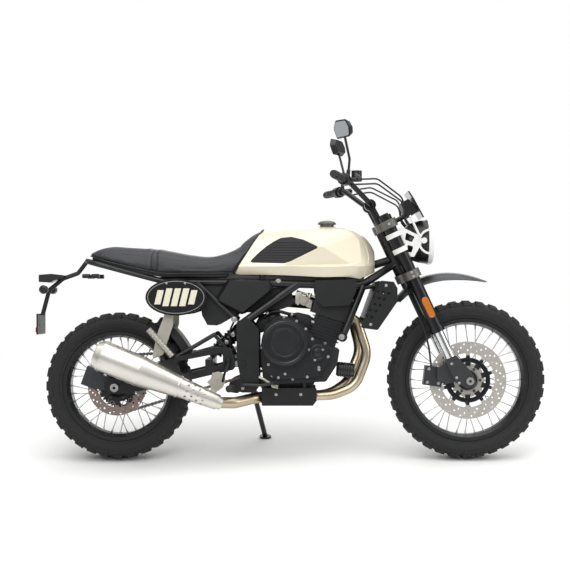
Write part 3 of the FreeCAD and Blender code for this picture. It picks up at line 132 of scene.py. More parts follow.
def ranged(tree, factor, low=0.0, high=1.0, start=0.0, end=1.0):
    """A value from low to high while the factor runs from start to end."""
    inputs = {"Value": factor, "From Min": start, "From Max": end, "To Min": low, "To Max": high}
    return add(tree, "ShaderNodeMapRange", inputs).outputs["Result"]

def maths(tree, operation, *values):
    return add(tree, "ShaderNodeMath", dict(enumerate(values)), operation=operation).outputs[0]

def speckle(tree, place, size_mm, detail):
    """A noise whose patches are about as large as size_mm."""
    inputs = {"Vector": place, "Scale": 1000 / size_mm, "Detail": detail}
    return add(tree, "ShaderNodeTexNoise", inputs).outputs["Fac"]

def toned(colour, factor, lift=0.0):
    """A colour made darker or paler by a factor."""
    return [min(1.0, c * factor + lift) for c in linear(colour)[:3]] + [1.0]

def drifting(tree, place, colour, drift, patch_mm):
    """A colour that drifts between a darker and a paler version of itself."""
    patches = speckle(tree, place, patch_mm, 3.0)
    return mixed(tree, patches, toned(colour, 1 - drift), toned(colour, 1 + drift, drift * 0.01)), patches

def bumpy(tree, height, depth_mm, strength=0.8, edge_mm=0.0):
    """The normal of a bumpy surface. With an edge radius, its sharp edges are rounded too."""
    inputs = {"Height": height, "Distance": depth_mm / 1000, "Strength": strength}
    if edge_mm:
        edge = add(tree, "ShaderNodeBevel", {"Radius": edge_mm / 1000}, samples=4)
        inputs["Normal"] = edge.outputs["Normal"]
    return add(tree, "ShaderNodeBump", inputs).outputs["Normal"]

def finish(name, colour, rough, grain_mm, depth_mm, metal=0.0, drift=0.12, patch_mm=45.0, coat=0.0,
           rough_drift=0.06, edge_mm=0.0):
    material, tree, place = blank(name)
    shade, patches = drifting(tree, place, colour, drift, patch_mm)
    return surfaced(material, {
        "Base Color": shade, "Roughness": ranged(tree, patches, rough - rough_drift, rough + rough_drift),
        "Metallic": metal, "Coat Weight": coat, "Coat Roughness": 0.12,
        "Normal": bumpy(tree, speckle(tree, place, grain_mm, 4.0), depth_mm, edge_mm=edge_mm)})

# %% [markdown]
# Paints, castings, rubbers and plastics. Satin black carries most of this machine, so each black gets
# its own depth, gloss and grain: powder coat on tubes is smooth, the engine's castings are gritty,
# moulded covers have a fine leather-like texture, and tyre rubber is the dullest of all.

# %% Paints, castings, rubbers and plastics
POWDER_BLACK = finish("powder_coat_black", "#111214", 0.36, 0.6, 0.02, edge_mm=1.0)
CASTING_BLACK = finish("painted_sand_casting", "#131417", 0.46, 1.2, 0.10, patch_mm=30.0, edge_mm=2.0)
COVER_BLACK = finish("painted_die_casting", "#131418", 0.34, 0.8, 0.03, coat=0.15, edge_mm=2.5)
MOULDED_BLACK = finish("moulded_abs_black", "#0F1012", 0.42, 0.9, 0.06, edge_mm=1.5)
FENDER_BLACK = finish("moulded_abs_satin", "#2C2E31", 0.34, 0.7, 0.02, coat=0.1)
ANODISED_BLACK = finish("anodised_aluminium_black", "#151619", 0.30, 0.5, 0.01, metal=0.3, edge_mm=0.8)
ANODISED_GREY = finish("hard_anodised_grey", "#3B3C3F", 0.42, 0.7, 0.04, metal=0.5, edge_mm=1.5)
CAST_GREY = finish("cast_aluminium_grey", "#6E6C68", 0.44, 0.9, 0.06, metal=0.6, drift=0.3, patch_mm=25.0,
                   edge_mm=1.5)
CAST_SILVER = finish("cast_aluminium_bare", "#BDB9AE", 0.40, 0.9, 0.05, metal=0.8, edge_mm=1.0)
TYRE_RUBBER = finish("tyre_rubber", "#1B1B1C", 0.78, 1.6, 0.10, drift=0.25, patch_mm=30.0)
SOFT_RUBBER = finish("moulded_rubber", "#1C1C1F", 0.62, 0.8, 0.05, edge_mm=0.8)
HOSE_RUBBER = finish("hose_rubber", "#131315", 0.42, 1.0, 0.05)
CHROME = finish("hard_chrome", "#D9DADB", 0.12, 0.5, 0.003, metal=1.0, drift=0.02, rough_drift=0.03)
ZINC_STEEL = finish("zinc_plated_steel", "#C6C6C4", 0.30, 0.7, 0.02, metal=0.9, drift=0.10)
CHAIN_STEEL = finish("oiled_chain_steel", "#8B867C", 0.36, 0.8, 0.03, metal=0.8, drift=0.25, patch_mm=12.0)
DARK_STEEL = finish("phosphated_steel", "#4A4A4A", 0.50, 0.8, 0.04, metal=0.7)
BRACKET_WHITE = finish("lacquered_bracket", "#E4E4E2", 0.32, 0.7, 0.01, drift=0.03, coat=0.4, edge_mm=0.8)
SPRING_BLACK = finish("painted_spring", "#1B1B1D", 0.32, 0.6, 0.01, coat=0.3)
SCREEN_DARK = finish("smoked_acrylic", "#121316", 0.10, 0.5, 0.002, coat=0.6)
PLATE_BLACK = finish("gloss_plate_black", "#0A0A0B", 0.18, 0.6, 0.003, coat=0.5, edge_mm=0.8)
PLATE_CREAM = finish("vinyl_cream", "#DCD8C2", 0.40, 0.8, 0.01, drift=0.04)
PLATE_LINE = finish("vinyl_grey_line", "#8B8C8E", 0.40, 0.8, 0.01)
FINNED_BLACK = finish("painted_fins", "#1D1E21", 0.40, 0.9, 0.05)
CORE_BLACK = finish("radiator_core", "#121315", 0.40, 0.6, 0.02, metal=0.3)
DISPLAY_GLASS = finish("display_glass", "#07080A", 0.06, 0.5, 0.001, coat=0.8, drift=0.02, rough_drift=0.02)
DISPLAY_MARKS = finish("display_segments", "#B9C4C8", 0.40, 0.5, 0.001, drift=0.02)
THREAD = finish("bonded_nylon_thread", "#0C0C0D", 0.60, 0.4, 0.02)

# %% [markdown]
# The seat is covered in vinyl leather. Its grain is a net of fine creases between rounded cells about
# two millimetres across. A Voronoi texture makes just that: its distance to the nearest cell's edge is
# zero in the creases. Broad soft wrinkles come from a second, much larger noise.

# %% Grained leather
CREASE = 0.12               # how far a crease reaches into its cell, as a share of the cell
FOLDS = 6.0                 # how much higher the folds are than the creases are deep

def grained_leather(name, colour, cell_mm, fold_mm, rough, sheen):
    material, tree, place = blank(name)
    shade, patches = drifting(tree, place, colour, 0.16, 60.0)
    cells = add(tree, "ShaderNodeTexVoronoi", {"Vector": place, "Scale": 1000 / cell_mm},
                feature="DISTANCE_TO_EDGE").outputs["Distance"]
    crease = ranged(tree, cells, end=CREASE)
    height = maths(tree, "MULTIPLY_ADD", speckle(tree, place, fold_mm, 2.0), FOLDS, crease)
    # The colour is darker in the creases: painted shade in the grain.
    return surfaced(material, {
        "Base Color": mixed(tree, crease, toned(colour, 0.7), shade), "Sheen Weight": sheen,
        "Sheen Roughness": 0.4, "Roughness": ranged(tree, patches, rough - 0.05, rough + 0.07),
        "Normal": bumpy(tree, height, 0.12, 0.7)})

SEAT_LEATHER = grained_leather("vinyl_leather", "#292A2E", 2.2, 28.0, 0.44, 0.15)

# %% [markdown]
# The tank is the one bright piece: a champagne metallic under clear lacquer. Real metallic paint holds
# flakes about a twentieth of a millimetre across. Those are too fine to show, so the flakes here are
# 0.8 mm, drawn as tiny changes of tilt and as painted glints, each flake a little paler or darker.

# %% Champagne metallic paint
def metallic_paint(name, colour, flake_mm):
    material, tree, place = blank(name)
    flakes = add(tree, "ShaderNodeTexVoronoi", {"Vector": place, "Scale": 1000 / flake_mm}).outputs
    # Each flake is painted a little paler or darker than the paint: painted glints.
    return surfaced(material, {
        "Base Color": mixed(tree, flakes["Color"], toned(colour, 0.93), toned(colour, 1.06)),
        "Metallic": 0.2, "Roughness": 0.38, "Coat Weight": 0.6, "Coat Roughness": 0.06,
        "Normal": bumpy(tree, flakes["Distance"], 0.04, 0.3, edge_mm=4.0)})

TANK_PAINT = metallic_paint("champagne_metallic", "#E3DAC2", 0.8)

# %% [markdown]
# Ground and brushed steels. A lathe or a belt leaves lines that run one way, so the noise is stretched
# along them. The silencer is brushed along its length. The header pipes have taken a straw tint from
# the heat, in patches.

# %% Brushed steels
def brushed(name, colour, tint, rough, line_mm, along, patch_mm=70.0):
    """Steel with fine lines that run along a direction of the parked machine."""
    material, tree, place = blank(name)
    turn = Vector(along).to_track_quat("X", "Z").inverted().to_euler()
    by_line = add(tree, "ShaderNodeMapping", {"Vector": place, "Rotation": turn}).outputs["Vector"]
    drawn_out = add(tree, "ShaderNodeMapping", {"Vector": by_line, "Scale": (0.03, 1, 1)}).outputs["Vector"]
    lines = speckle(tree, drawn_out, line_mm, 3.0)
    patches = speckle(tree, place, patch_mm, 2.0)
    return surfaced(material, {
        "Base Color": mixed(tree, patches, linear(colour), linear(tint)), "Metallic": 1.0,
        "Roughness": ranged(tree, lines, rough - 0.06, rough + 0.10),
        "Normal": bumpy(tree, lines, 0.02, 0.5)})

SILENCER_IN = Vector((424, -178, 250))
SILENCER_OUT = Vector((-64, -215, 450))
silencer_way = TURN.to_3x3() @ (SILENCER_OUT - SILENCER_IN)
SILENCER_STEEL = brushed("brushed_stainless", "#E2DFD9", "#CFCBC2", 0.36, 0.5, silencer_way)
HEADER_STEEL = brushed("heat_tinted_stainless", "#D2C6B0", "#AD9C7F", 0.30, 0.6, (1, 0, 0), 90.0)

# %% [markdown]
# Some welded or cast pieces of the model have two or three finishes on the real machine: a wheel has a
# black rim and hub with bright spokes between, a brake disc has a ground ring on a black carrier, and a
# fork leg has a grey foot under a chromed tube. One material then measures how far a point lies from
# the axle, or up the fork, and picks the finish by that. The measure turns with the piece, so the
# paint stays put when the wheel spins.

# %% Finishes in bands
def vector_math(tree, operation, *values):
    return add(tree, "ShaderNodeVectorMath", dict(enumerate(values)), operation=operation).outputs

def radius_from(axle):
    """Measures the distance from a wheel's axle, seen along it."""
    def measure(tree, place):
        centred = vector_math(tree, "SUBTRACT", place, PARK @ axle)[0]
        inputs = {"Vector": centred, "Angle": LEAN}
        upright = add(tree, "ShaderNodeVectorRotate", inputs, rotation_type="X_AXIS").outputs[0]
        return vector_math(tree, "LENGTH", vector_math(tree, "MULTIPLY", upright, (1, 0, 1))[0])["Value"]
    return measure

def height_along(start, way):
    """Measures how far a point lies from start along a direction of the upright machine."""
    def measure(tree, place):
        centred = vector_math(tree, "SUBTRACT", place, PARK @ start)[0]
        return vector_math(tree, "DOT_PRODUCT", centred, TURN.to_3x3() @ way.normalized())["Value"]
    return measure

def banded(name, measure, bands, coat=0.0, edge_mm=0.0):
    """One finish for each band. A band is its start in mm, its colour, roughness and metallic value."""
    material, tree, place = blank(name)
    amount = measure(tree, place)
    _, code, rough, metal = bands[0]
    colour, _ = drifting(tree, place, code, 0.1, 30.0)
    for start, code, band_rough, band_metal in bands[1:]:
        past = maths(tree, "GREATER_THAN", amount, start / 1000)
        colour = mixed(tree, past, colour, drifting(tree, place, code, 0.1, 30.0)[0])
        rough = ranged(tree, past, rough, band_rough)
        metal = ranged(tree, past, metal, band_metal)
    return surfaced(material, {
        "Base Color": colour, "Roughness": rough, "Metallic": metal, "Coat Weight": coat,
        "Normal": bumpy(tree, speckle(tree, place, 0.7, 3.0), 0.015, edge_mm=edge_mm)})

def wheel_bands(hub_r, rim_r):
    return [(0, "#16171A", 0.34, 0.0), (hub_r, "#B9B9B7", 0.3, 0.9), (rim_r - 1, "#151618", 0.3, 0.0)]

UP = Vector((0, 0, 1))
FRONT_RIM_R = 229.0
REAR_RIM_R = 201.0
FRONT_WHEEL = banded("front_wheel_finish", radius_from(FRONT_AXLE), wheel_bands(59, FRONT_RIM_R), coat=0.3)
REAR_WHEEL = banded("rear_wheel_finish", radius_from(REAR_AXLE), wheel_bands(67, REAR_RIM_R), coat=0.3)
FRONT_DISC = banded("front_disc_finish", radius_from(FRONT_AXLE), [
    (0, "#C9C6C0", 0.3, 0.9), (59, "#17181B", 0.4, 0.2), (103, "#CFCAC4", 0.34, 0.75)], edge_mm=0.6)
REAR_DISC = banded("rear_disc_finish", radius_from(REAR_AXLE), [
    (0, "#17181B", 0.4, 0.2), (77, "#8F8078", 0.42, 0.75)], edge_mm=0.6)
FORK_LEG = banded("fork_leg_finish", height_along(FRONT_AXLE, FORK.to_3x3() @ UP), [
    (-200, "#3A3B3E", 0.44, 0.4), (121, "#DADBDC", 0.14, 1.0)], edge_mm=1.5)
TAIL_LAMP = banded("tail_lamp_finish", height_along(REAR_AXLE, UP), [
    (0, "#8E1210", 0.18, 0.0), (360, "#151618", 0.34, 0.0)], coat=0.4, edge_mm=1.0)

# %% [markdown]
# Lamps and mirrors. A coloured lens is clear plastic that is coloured all the way through, with ribs
# moulded inside it. Those ribs are what makes it sparkle, so they are in its bump.

# %% Lenses, glass and mirror
def lens(name, colour, rib_mm, clear, depth_mm):
    material, tree, place = blank(name)
    inputs = {"Vector": place, "Scale": 1000 / rib_mm / (2 * math.pi)}
    ribs = add(tree, "ShaderNodeTexWave", inputs, bands_direction="Z").outputs["Fac"]
    return surfaced(material, {
        "Base Color": linear(colour), "Roughness": 0.12, "Transmission Weight": clear, "Coat Weight": 0.6,
        "Normal": bumpy(tree, ribs, depth_mm, 0.5)})

AMBER_LENS = lens("amber_lens", "#C96F0C", 3.0, 0.1, 0.4)
CLEAR_LENS = lens("clear_lens", "#F2F5F7", 60.0, 0.96, 0.02)
MIRROR = finish("silvered_glass", "#9DA2A6", 0.04, 0.5, 0.0005, metal=1.0, drift=0.01, rough_drift=0.0)

# %% [markdown]
# Every node of the model now gets its finish. Each entry is a finish and the nodes that have it.

# %% Finishes for the nodes of the model
FINISHES = [
    (TYRE_RUBBER, "front_tyre rear_tyre"), (FRONT_WHEEL, "front_wire_wheel"), (REAR_WHEEL, "rear_wire_wheel"),
    (FRONT_DISC, "front_disc"), (REAR_DISC, "rear_disc"), (DARK_STEEL, "rear_sprocket"),
    (ZINC_STEEL, "front_axle rear_axle"), (CHAIN_STEEL, "chain"), (SPRING_BLACK, "rear_shock"),
    (POWDER_BLACK, "main_frame subframe swingarm side_stand foot_controls sump_guard headlight_shell"),
    (CASTING_BLACK, "crankcase cylinder_head"), (COVER_BLACK, "side_casings head_cover oil_filter"),
    (FINNED_BLACK, "cylinder_block"), (CORE_BLACK, "radiator"), (CAST_GREY, "fuel_cap triple_clamps"),
    (HEADER_STEEL, "exhaust_headers"), (SILENCER_STEEL, "silencer"), (TANK_PAINT, "fuel_tank"),
    (MOULDED_BLACK, "air_box radiator_guards head_shrouds side_covers inner_fender rear_hugger"),
    (MOULDED_BLACK, "tail_hanger rear_indicators hand_controls mirrors instrument"),
    (PLATE_BLACK, "number_plates"), (TAIL_LAMP, "tail_light"), (CAST_SILVER, "pillion_pegs"),
    (ANODISED_GREY, "rear_caliper front_caliper"), (ANODISED_BLACK, "fork_outer_tubes handlebar"),
    (FORK_LEG, "fork_legs"), (FENDER_BLACK, "front_fender"), (SOFT_RUBBER, "hand_grips knee_pads"),
    (MIRROR, "mirror_glasses"), (CLEAR_LENS, "headlight_lens"), (BRACKET_WHITE, "headlight_bracket"),
    (SCREEN_DARK, "flyscreen"), (AMBER_LENS, "fork_reflectors"), (SEAT_LEATHER, "seat"),
    (HOSE_RUBBER, "bar_cables brake_hose")]
unfinished = set(NODES)
for material, names in FINISHES:
    for name in names.split():
        NODES[name].data.materials.clear()
        NODES[name].data.materials.append(material)
        unfinished.remove(name)
print("nodes with no finish", sorted(unfinished))

# %% [markdown]
# A new piece is a mesh drawn on the upright machine. One function leans it into place, gives it its
# finish, hangs it on the body that carries it and hides any node of the model that it stands for.

# %% Adding a piece
RIGHT = Vector((0, -1, 0))
LEFT = Vector((0, 1, 0))
FORWARD = Vector((1, 0, 0))
SIDES = ((-1, RIGHT, "right"), (1, LEFT, "left"))

def placed(name, data):
    thing = bpy.data.objects.new(name, data)
    bpy.context.scene.collection.objects.link(thing)
    return thing

def smooth(mesh, angle=35.0):
    mesh.shade_smooth()
    mesh.set_sharp_from_angle(angle=math.radians(angle))
    return mesh

def add_piece(name, mesh, material, body="chassis", replaces=()):
    mesh.transform(PARK)
    mesh.materials.clear()
    mesh.materials.append(material)
    piece = placed(name, mesh)
    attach(piece, body)
    if replaces:
        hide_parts(*replaces)
    print(name, len(mesh.polygons), "faces")
    return piece

# %% [markdown]
# Shapes pass through a few small helpers on their way: a mesh from points and faces, the plain mesh that
# an object's modifiers make, several meshes in one, and a copy on the machine's other side.

# %% Meshes
def mesh_of(points, faces):
    mesh = bpy.data.meshes.new("shape")
    mesh.from_pydata([tuple(p) for p in points], [], faces)
    mesh.update()
    return mesh

def baked(holder):
    """The plain mesh of an object and its modifiers. The object itself is taken out again."""
    evaluated = holder.evaluated_get(bpy.context.evaluated_depsgraph_get())
    mesh = bpy.data.meshes.new_from_object(evaluated)
    bpy.data.objects.remove(holder)
    return mesh

def finished(mesh, *modifiers):
    """The mesh after some modifiers, given as (kind, settings)."""
    holder = placed("holder", mesh)
    for kind, settings in modifiers:
        modifier = holder.modifiers.new(kind, kind)
        for key, value in settings.items():
            setattr(modifier, key, value)
    return baked(holder)

def bevelled(mesh, width, segments=3):
    return finished(mesh, ("BEVEL", {"width": width, "segments": segments, "limit_method": "ANGLE"}))

def joined(meshes):
    whole = bmesh.new()
    for mesh in meshes:
        whole.from_mesh(mesh)
    result = bpy.data.meshes.new("joined")
    whole.to_mesh(result)
    whole.free()
    return result

def both_sides(mesh):
    """The mesh and its mirror image, whose faces are turned back outwards."""
    copy = mesh.copy()
    copy.transform(Matrix.Diagonal((1, -1, 1, 1)))
    copy.flip_normals()
    return joined([mesh, copy])

# %% [markdown]
# Most solid shapes come from a ring-by-ring skin. A box, a plate cut to an outline, a body turned about
# an axis and a hoop about one are such skins, and each is a closed mesh with its faces outwards.

# %% Skins, plates and turned bodies
def skin(rings, looped=False):
    """Joins rings of as many points each. The last ring joins the first if it is looped."""
    count = len(rings[0])
    points = [p for ring in rings for p in ring]
    faces = []
    for i in range(len(rings) if looped else len(rings) - 1):
        a, b = i * count, (i + 1) % len(rings) * count
        for j in range(count):
            k = (j + 1) % count
            faces.append((a + j, a + k, b + k, b + j))
    if not looped:
        faces += [tuple(range(count))[::-1], tuple(range(len(points) - count, len(points)))]
    mesh = mesh_of(points, faces)
    shape = bmesh.new()
    shape.from_mesh(mesh)
    bmesh.ops.remove_doubles(shape, verts=shape.verts, dist=0.001)
    bmesh.ops.recalc_face_normals(shape, faces=shape.faces)
    shape.to_mesh(mesh)
    shape.free()
    return mesh

def box(low, high):
    return skin([[Vector((x, y, z)) for x, y in ((low[0], low[1]), (high[0], low[1]), (high[0], high[1]),
                                                 (low[0], high[1]))] for z in (low[2], high[2])])

def plate(outline, y_from, y_to, bevel):
    """A plate whose outline is (x, z) points in side view."""
    return bevelled(skin([[Vector((x, y, z)) for x, z in outline] for y in (y_from, y_to)]), bevel)

def turns(count):
    return [2 * math.pi * i / count for i in range(count)]

def on_circle(radius, angle, y=0.0):
    """A point on a circle about the origin in side view."""
    return Vector((radius * math.cos(angle), y, radius * math.sin(angle)))

def around(profile, start, along, steps):
    """The (distance, radius) points of a profile, at each step of a turn about an axis."""
    way = Vector(along).normalized()
    turn = way.to_track_quat("Z", "Y")
    spokes = [turn @ Vector((math.cos(angle), math.sin(angle), 0)) for angle in turns(steps)]
    return [[Vector(start) + way * d + spoke * max(r, 0.01) for d, r in profile] for spoke in spokes]

def turned(profile, start, along, steps=32):
    """A solid body of revolution."""
    return skin(list(zip(*around(profile, start, along, steps))))

def hoop(profile, start, along, steps=64):
    """A ring whose section is a closed profile."""
    return skin(around(profile, start, along, steps), looped=True)

def cable(points, radius, facets=4):
    """A round cable along a smooth NURBS line through the neighbourhood of its points."""
    curve = bpy.data.curves.new("cable", "CURVE")
    curve.dimensions = "3D"
    spline = curve.splines.new("NURBS")
    spline.points.add(len(points) - 1)
    for point, place in zip(spline.points, points):
        point.co = (*place, 1.0)
    spline.order_u = 3
    spline.use_endpoint_u = True
    spline.resolution_u = 8
    curve.bevel_depth = radius
    curve.bevel_resolution = facets
    curve.use_fill_caps = True
    return baked(placed("cable", curve))

# %% [markdown]
# Three Geometry Nodes trees make whatever repeats. The first turns copies of a shape about the wheel's
# axle, for tread blocks and nipples. The second sets a bolt on each of a list of places. The third sets
# a shape on each place and turns it along a path, for chain links, stitches and radiator fins. Each tree
# has named inputs, and ends in Realize Instances and Set Material, so that its result is a plain mesh.

# %% Trees that repeat a shape
def start_tree(name, label, kind):
    tree = bpy.data.node_groups.new(name, "GeometryNodeTree")
    for socket, way, socket_type in (("Geometry", "INPUT", "Geometry"), (label, "INPUT", kind),
                                     ("Material", "INPUT", "Material"), ("Geometry", "OUTPUT", "Geometry")):
        tree.interface.new_socket(socket, in_out=way, socket_type="NodeSocket" + socket_type)
    return tree, add(tree, "NodeGroupInput").outputs

def end_tree(tree, given, **inputs):
    """Sets a copy on each point, makes the copies real and gives them their material."""
    copies = add(tree, "GeometryNodeInstanceOnPoints", inputs).outputs[0]
    real = add(tree, "GeometryNodeRealizeInstances", {"Geometry": copies}).outputs[0]
    painted = add(tree, "GeometryNodeSetMaterial", {"Geometry": real, "Material": given["Material"]})
    add(tree, "NodeGroupOutput", {"Geometry": painted.outputs[0]})
    return tree

def read(tree, name, kind="FLOAT_VECTOR"):
    return add(tree, "GeometryNodeInputNamedAttribute", {"Name": name}, data_type=kind).outputs[0]

def aligned(tree, attribute, axis, inputs, **settings):
    """The turn that takes an axis to the direction that an attribute holds."""
    inputs["Vector"] = read(tree, attribute)
    return add(tree, "FunctionNodeAlignRotationToVector", inputs, axis=axis, **settings).outputs[0]

def ring_tree():
    tree, given = start_tree("copies_about_an_axle", "Count", "Int")
    points = add(tree, "GeometryNodePoints", {"Count": given["Count"]}).outputs[0]
    index = add(tree, "GeometryNodeInputIndex").outputs[0]
    angle = maths(tree, "MULTIPLY", index, maths(tree, "DIVIDE", 2 * math.pi, given["Count"]))
    turn = add(tree, "ShaderNodeCombineXYZ", {"Y": angle}).outputs[0]
    return end_tree(tree, given, Points=points, Instance=given["Geometry"], Rotation=turn)

def bolt_tree():
    """A bolt on a washer at every vertex, facing its "facing" attribute, as large as its "size"."""
    tree, given = start_tree("bolts_at_places", "Sides", "Int")
    bolt = add(tree, "GeometryNodeJoinGeometry")
    for kind, up, inputs in (
            ("Cylinder", 0.4, {"Vertices": given["Sides"], "Radius": 1.0, "Depth": 0.8}),
            ("Cone", 0.8, {"Vertices": given["Sides"], "Radius Top": 0.78, "Depth": 0.18}),
            ("Cylinder", 0.0, {"Vertices": 20, "Radius": 1.35, "Depth": 0.3})):
        shape = add(tree, "GeometryNodeMesh" + kind, inputs).outputs["Mesh"]
        lifted = add(tree, "GeometryNodeTransform", {"Geometry": shape, "Translation": (0, 0, up)}).outputs[0]
        tree.links.new(lifted, bolt.inputs[0])
    return end_tree(tree, given, Points=given["Geometry"], Instance=bolt.outputs[0],
                    Rotation=aligned(tree, "facing", "Z", {}), Scale=read(tree, "size", "FLOAT"))

def copies_tree():
    """A shape at every vertex, its z along "facing" and its x along "along"."""
    tree, given = start_tree("copies_along_a_path", "Shape", "Object")
    shape = add(tree, "GeometryNodeObjectInfo", {"Object": given["Shape"]}).outputs["Geometry"]
    turn = aligned(tree, "along", "X", {"Rotation": aligned(tree, "facing", "Z", {})}, pivot_axis="Z")
    return end_tree(tree, given, Points=given["Geometry"], Instance=shape, Rotation=turn)

RING = ring_tree()
BOLTS = bolt_tree()
COPIES = copies_tree()

# %% [markdown]
# A tree works as a modifier on a mesh. The bolts' and the links' mesh is nothing but loose vertices,
# which carry what the tree reads: a size, a direction to face, or one to lie along.

# %% Using the trees
def grown(tree, mesh, **values):
    """The plain mesh that a tree makes of a mesh, with the tree's inputs set by name."""
    holder = placed("holder", mesh)
    modifier = holder.modifiers.new("tree", "NODES")
    modifier.node_group = tree
    for item in tree.interface.items_tree:
        if item.in_out == "INPUT" and item.name in values:
            modifier[item.identifier] = values[item.name]
    return baked(holder)

def seeded(places, **attributes):
    """Loose vertices that carry vectors or numbers for a tree to read. One value does for all of them."""
    seeds = mesh_of(places, [])
    for name, values in attributes.items():
        values = values[:len(places)] if isinstance(values, list) else [values] * len(places)
        if isinstance(values[0], (int, float)):
            seeds.attributes.new(name, "FLOAT", "POINT").data.foreach_set("value", values)
        else:
            layer = seeds.attributes.new(name, "FLOAT_VECTOR", "POINT")
            layer.data.foreach_set("vector", [c for vector in values for c in vector])
    return seeds

def add_bolts(name, places, facing, size, body="chassis", material=ZINC_STEEL, sides=6):
    """Bolts of one direction. size is the head's radius in millimetres, or a list of them."""
    seeds = seeded(places, facing=facing, size=size)
    add_piece(name, grown(BOLTS, seeds, Sides=sides, Material=material), material, body)

def copied(shape, places, facing, along, material):
    holder = placed("shape", shape)
    mesh = grown(COPIES, seeded(places, facing=facing, along=along), Shape=holder, Material=material)
    bpy.data.objects.remove(holder)
    return mesh

# %% [markdown]
# Some trim follows the surface of a solid, such as the ribs on the knee pads. Its route is drawn in
# side view and then pressed sideways onto the solid, by casting a ray at every point of the route.

# %% Pressing a route onto a solid
OUTSIDE = 400.0             # how far out on its side a ray starts

def surface(mesh, turn=Matrix()):
    faces = [tuple(face.vertices) for face in mesh.polygons]
    return BVHTree.FromPolygons([turn @ corner.co for corner in mesh.vertices], faces)

def surface_of(node):
    """The surface of a node of the model, in millimetres on the upright machine."""
    return surface(NODES[node].data, PARK.inverted())

def pressed(surface, route, out=0.0, side=-1):
    """The points of an (x, z) route on one side of a surface, moved out of it. Misses are left out."""
    hits = [surface.ray_cast(Vector((x, side * OUTSIDE, z)), Vector((0, -side, 0)))[0] for x, z in route]
    return [hit + Vector((0, side * out, 0)) for hit in hits if hit is not None]

# %% [markdown]
# The tyres are block tread over a round carcass: a 110/80-19 in front and a 150/60-17 behind. The
# section is that of the solid model, with the corners of the carcass rounded. On either side, each pitch
# carries a centre block, a middle block, a shoulder block in two parts and two fine ribs on the sidewall.
# They are drawn once and copied around the axle by the first tree.

# %% Tyres
TYRE_STEPS = 180
LUG_DEPTH = 8.0
LUG_SHARE = 0.62            # of each pitch, the rest is the groove
RIM_DEPTH = 26.0
RIM_WALL = 6.0

def tyre_lines(tyre_r, width, rim_r, rim_w):
    """The carcass and the top of the lugs, each as (y, radius) from the bead or shoulder to the crown."""
    half = width / 2
    bead = rim_w / 2 - RIM_WALL
    flange = rim_r + RIM_DEPTH
    height = tyre_r - flange
    carcass = [
        (bead - 1, flange - 11), (bead - 1, flange + 0.5), (bead + 5, flange + 2.5), (bead + 7, flange + 6),
        (bead + 7.5, flange + 0.11 * height), (half - 0.05 * width, flange + 0.2 * height),
        (half - 0.02 * width, flange + 0.3 * height), (half - 1.2, flange + 0.4 * height),
        (half - 1, flange + 0.5 * height), (half * 0.93, flange + 0.66 * height),
        (half * 0.76, flange + 0.87 * height - LUG_DEPTH), (half * 0.4, tyre_r - LUG_DEPTH - 1.5),
        (4.0, tyre_r - LUG_DEPTH), (0.0, tyre_r - LUG_DEPTH)]
    top = [(4.0, tyre_r), (half * 0.42, tyre_r - 0.045 * height), (half * 0.66, tyre_r - 0.085 * height),
           (half * 0.8, flange + 0.87 * height), (half * 0.9, flange + 0.76 * height),
           (half * 0.97, flange + 0.64 * height), (half, flange + 0.5 * height)]
    return carcass, top

def along_line(line, share):
    """The point at a share of a line's points, and the way out of the line there."""
    place = max(0.0, min(share, 0.9999)) * (len(line) - 1)
    i = int(place)
    (y0, r0), (y1, r1) = line[i], line[i + 1]
    t = place - i
    tangent = Vector((y1 - y0, r1 - r0)).normalized()
    return Vector((y0 + (y1 - y0) * t, r0 + (r1 - r0) * t)), Vector((-tangent.y, tangent.x))

def rolled(angle, y, radius):
    """A point of the tyre, turned about the axle."""
    return Matrix.Rotation(angle, 3, "Y") @ Vector((0, y, radius))

def tread_block(top, side, low, high, start, end, lean=0.0):
    """A block between two shares of the tread line and two angles. It tapers outwards from the carcass."""
    rings = []
    for depth, shrink in ((LUG_DEPTH + 1.5, -0.04), (1.2, 0.02), (0.0, 0.10)):
        ring = []
        for share, angle, shift in ((low, start, 0), (high, start, lean), (high, end, lean), (low, end, 0)):
            point, out = along_line(top, share + ((low + high) / 2 - share) * shrink)
            spot = point - out * depth
            ring.append(rolled(angle + ((start + end) / 2 - angle) * shrink + shift, side * spot.x, spot.y))
        rings.append(ring)
    return skin(rings)

def make_tyre(name, axle, tyre_r, width, rim_r, rim_w, pitches, body):
    carcass, top = tyre_lines(tyre_r, width, rim_r, rim_w)
    profile = carcass + [(-y, r) for y, r in carcass[-2::-1]]
    pitch = 2 * math.pi / pitches
    half = pitch * LUG_SHARE / 2
    blocks = []
    for side in (-1, 1):
        blocks += [tread_block(top, side, 0.0, 0.19, -half, half * 0.9, side * pitch * 0.05),
                   tread_block(top, side, 0.22, 0.44, -half, half * 0.92, side * -pitch * 0.05),
                   tread_block(top, side, 0.48, 0.72, -half, half),
                   tread_block(top, side, 0.73, 0.99, -half * 0.94, half * 0.94)]
        for start, end, at in ((-half, half, 7.4), (half * 1.5, half * 1.75, 7.9)):
            point, _ = along_line(carcass, at / (len(carcass) - 1))
            rib = [(point.x + out, point.y + up) for out, up in ((-0.2, -4), (1.4, -3), (1.7, 4), (0.3, 5))]
            blocks.append(skin([[rolled(angle, side * y, r) for y, r in rib] for angle in (start, end)]))
    treads = grown(RING, joined(blocks), Count=pitches, Material=TYRE_RUBBER)
    round_body = skin([[rolled(angle, y, r) for y, r in profile] for angle in turns(TYRE_STEPS)], looped=True)
    whole = joined([round_body, treads])
    whole.transform(Matrix.Translation(axle))
    add_piece(name, smooth(whole, 28), TYRE_RUBBER, body, (name.removesuffix("_tread"),))

make_tyre("front_tyre_tread", FRONT_AXLE, 330.2, 112.0, FRONT_RIM_R, 84.0, 36, "front_wheel")
make_tyre("rear_tyre_tread", REAR_AXLE, 305.2, 150.0, REAR_RIM_R, 120.0, 32, "rear_wheel")

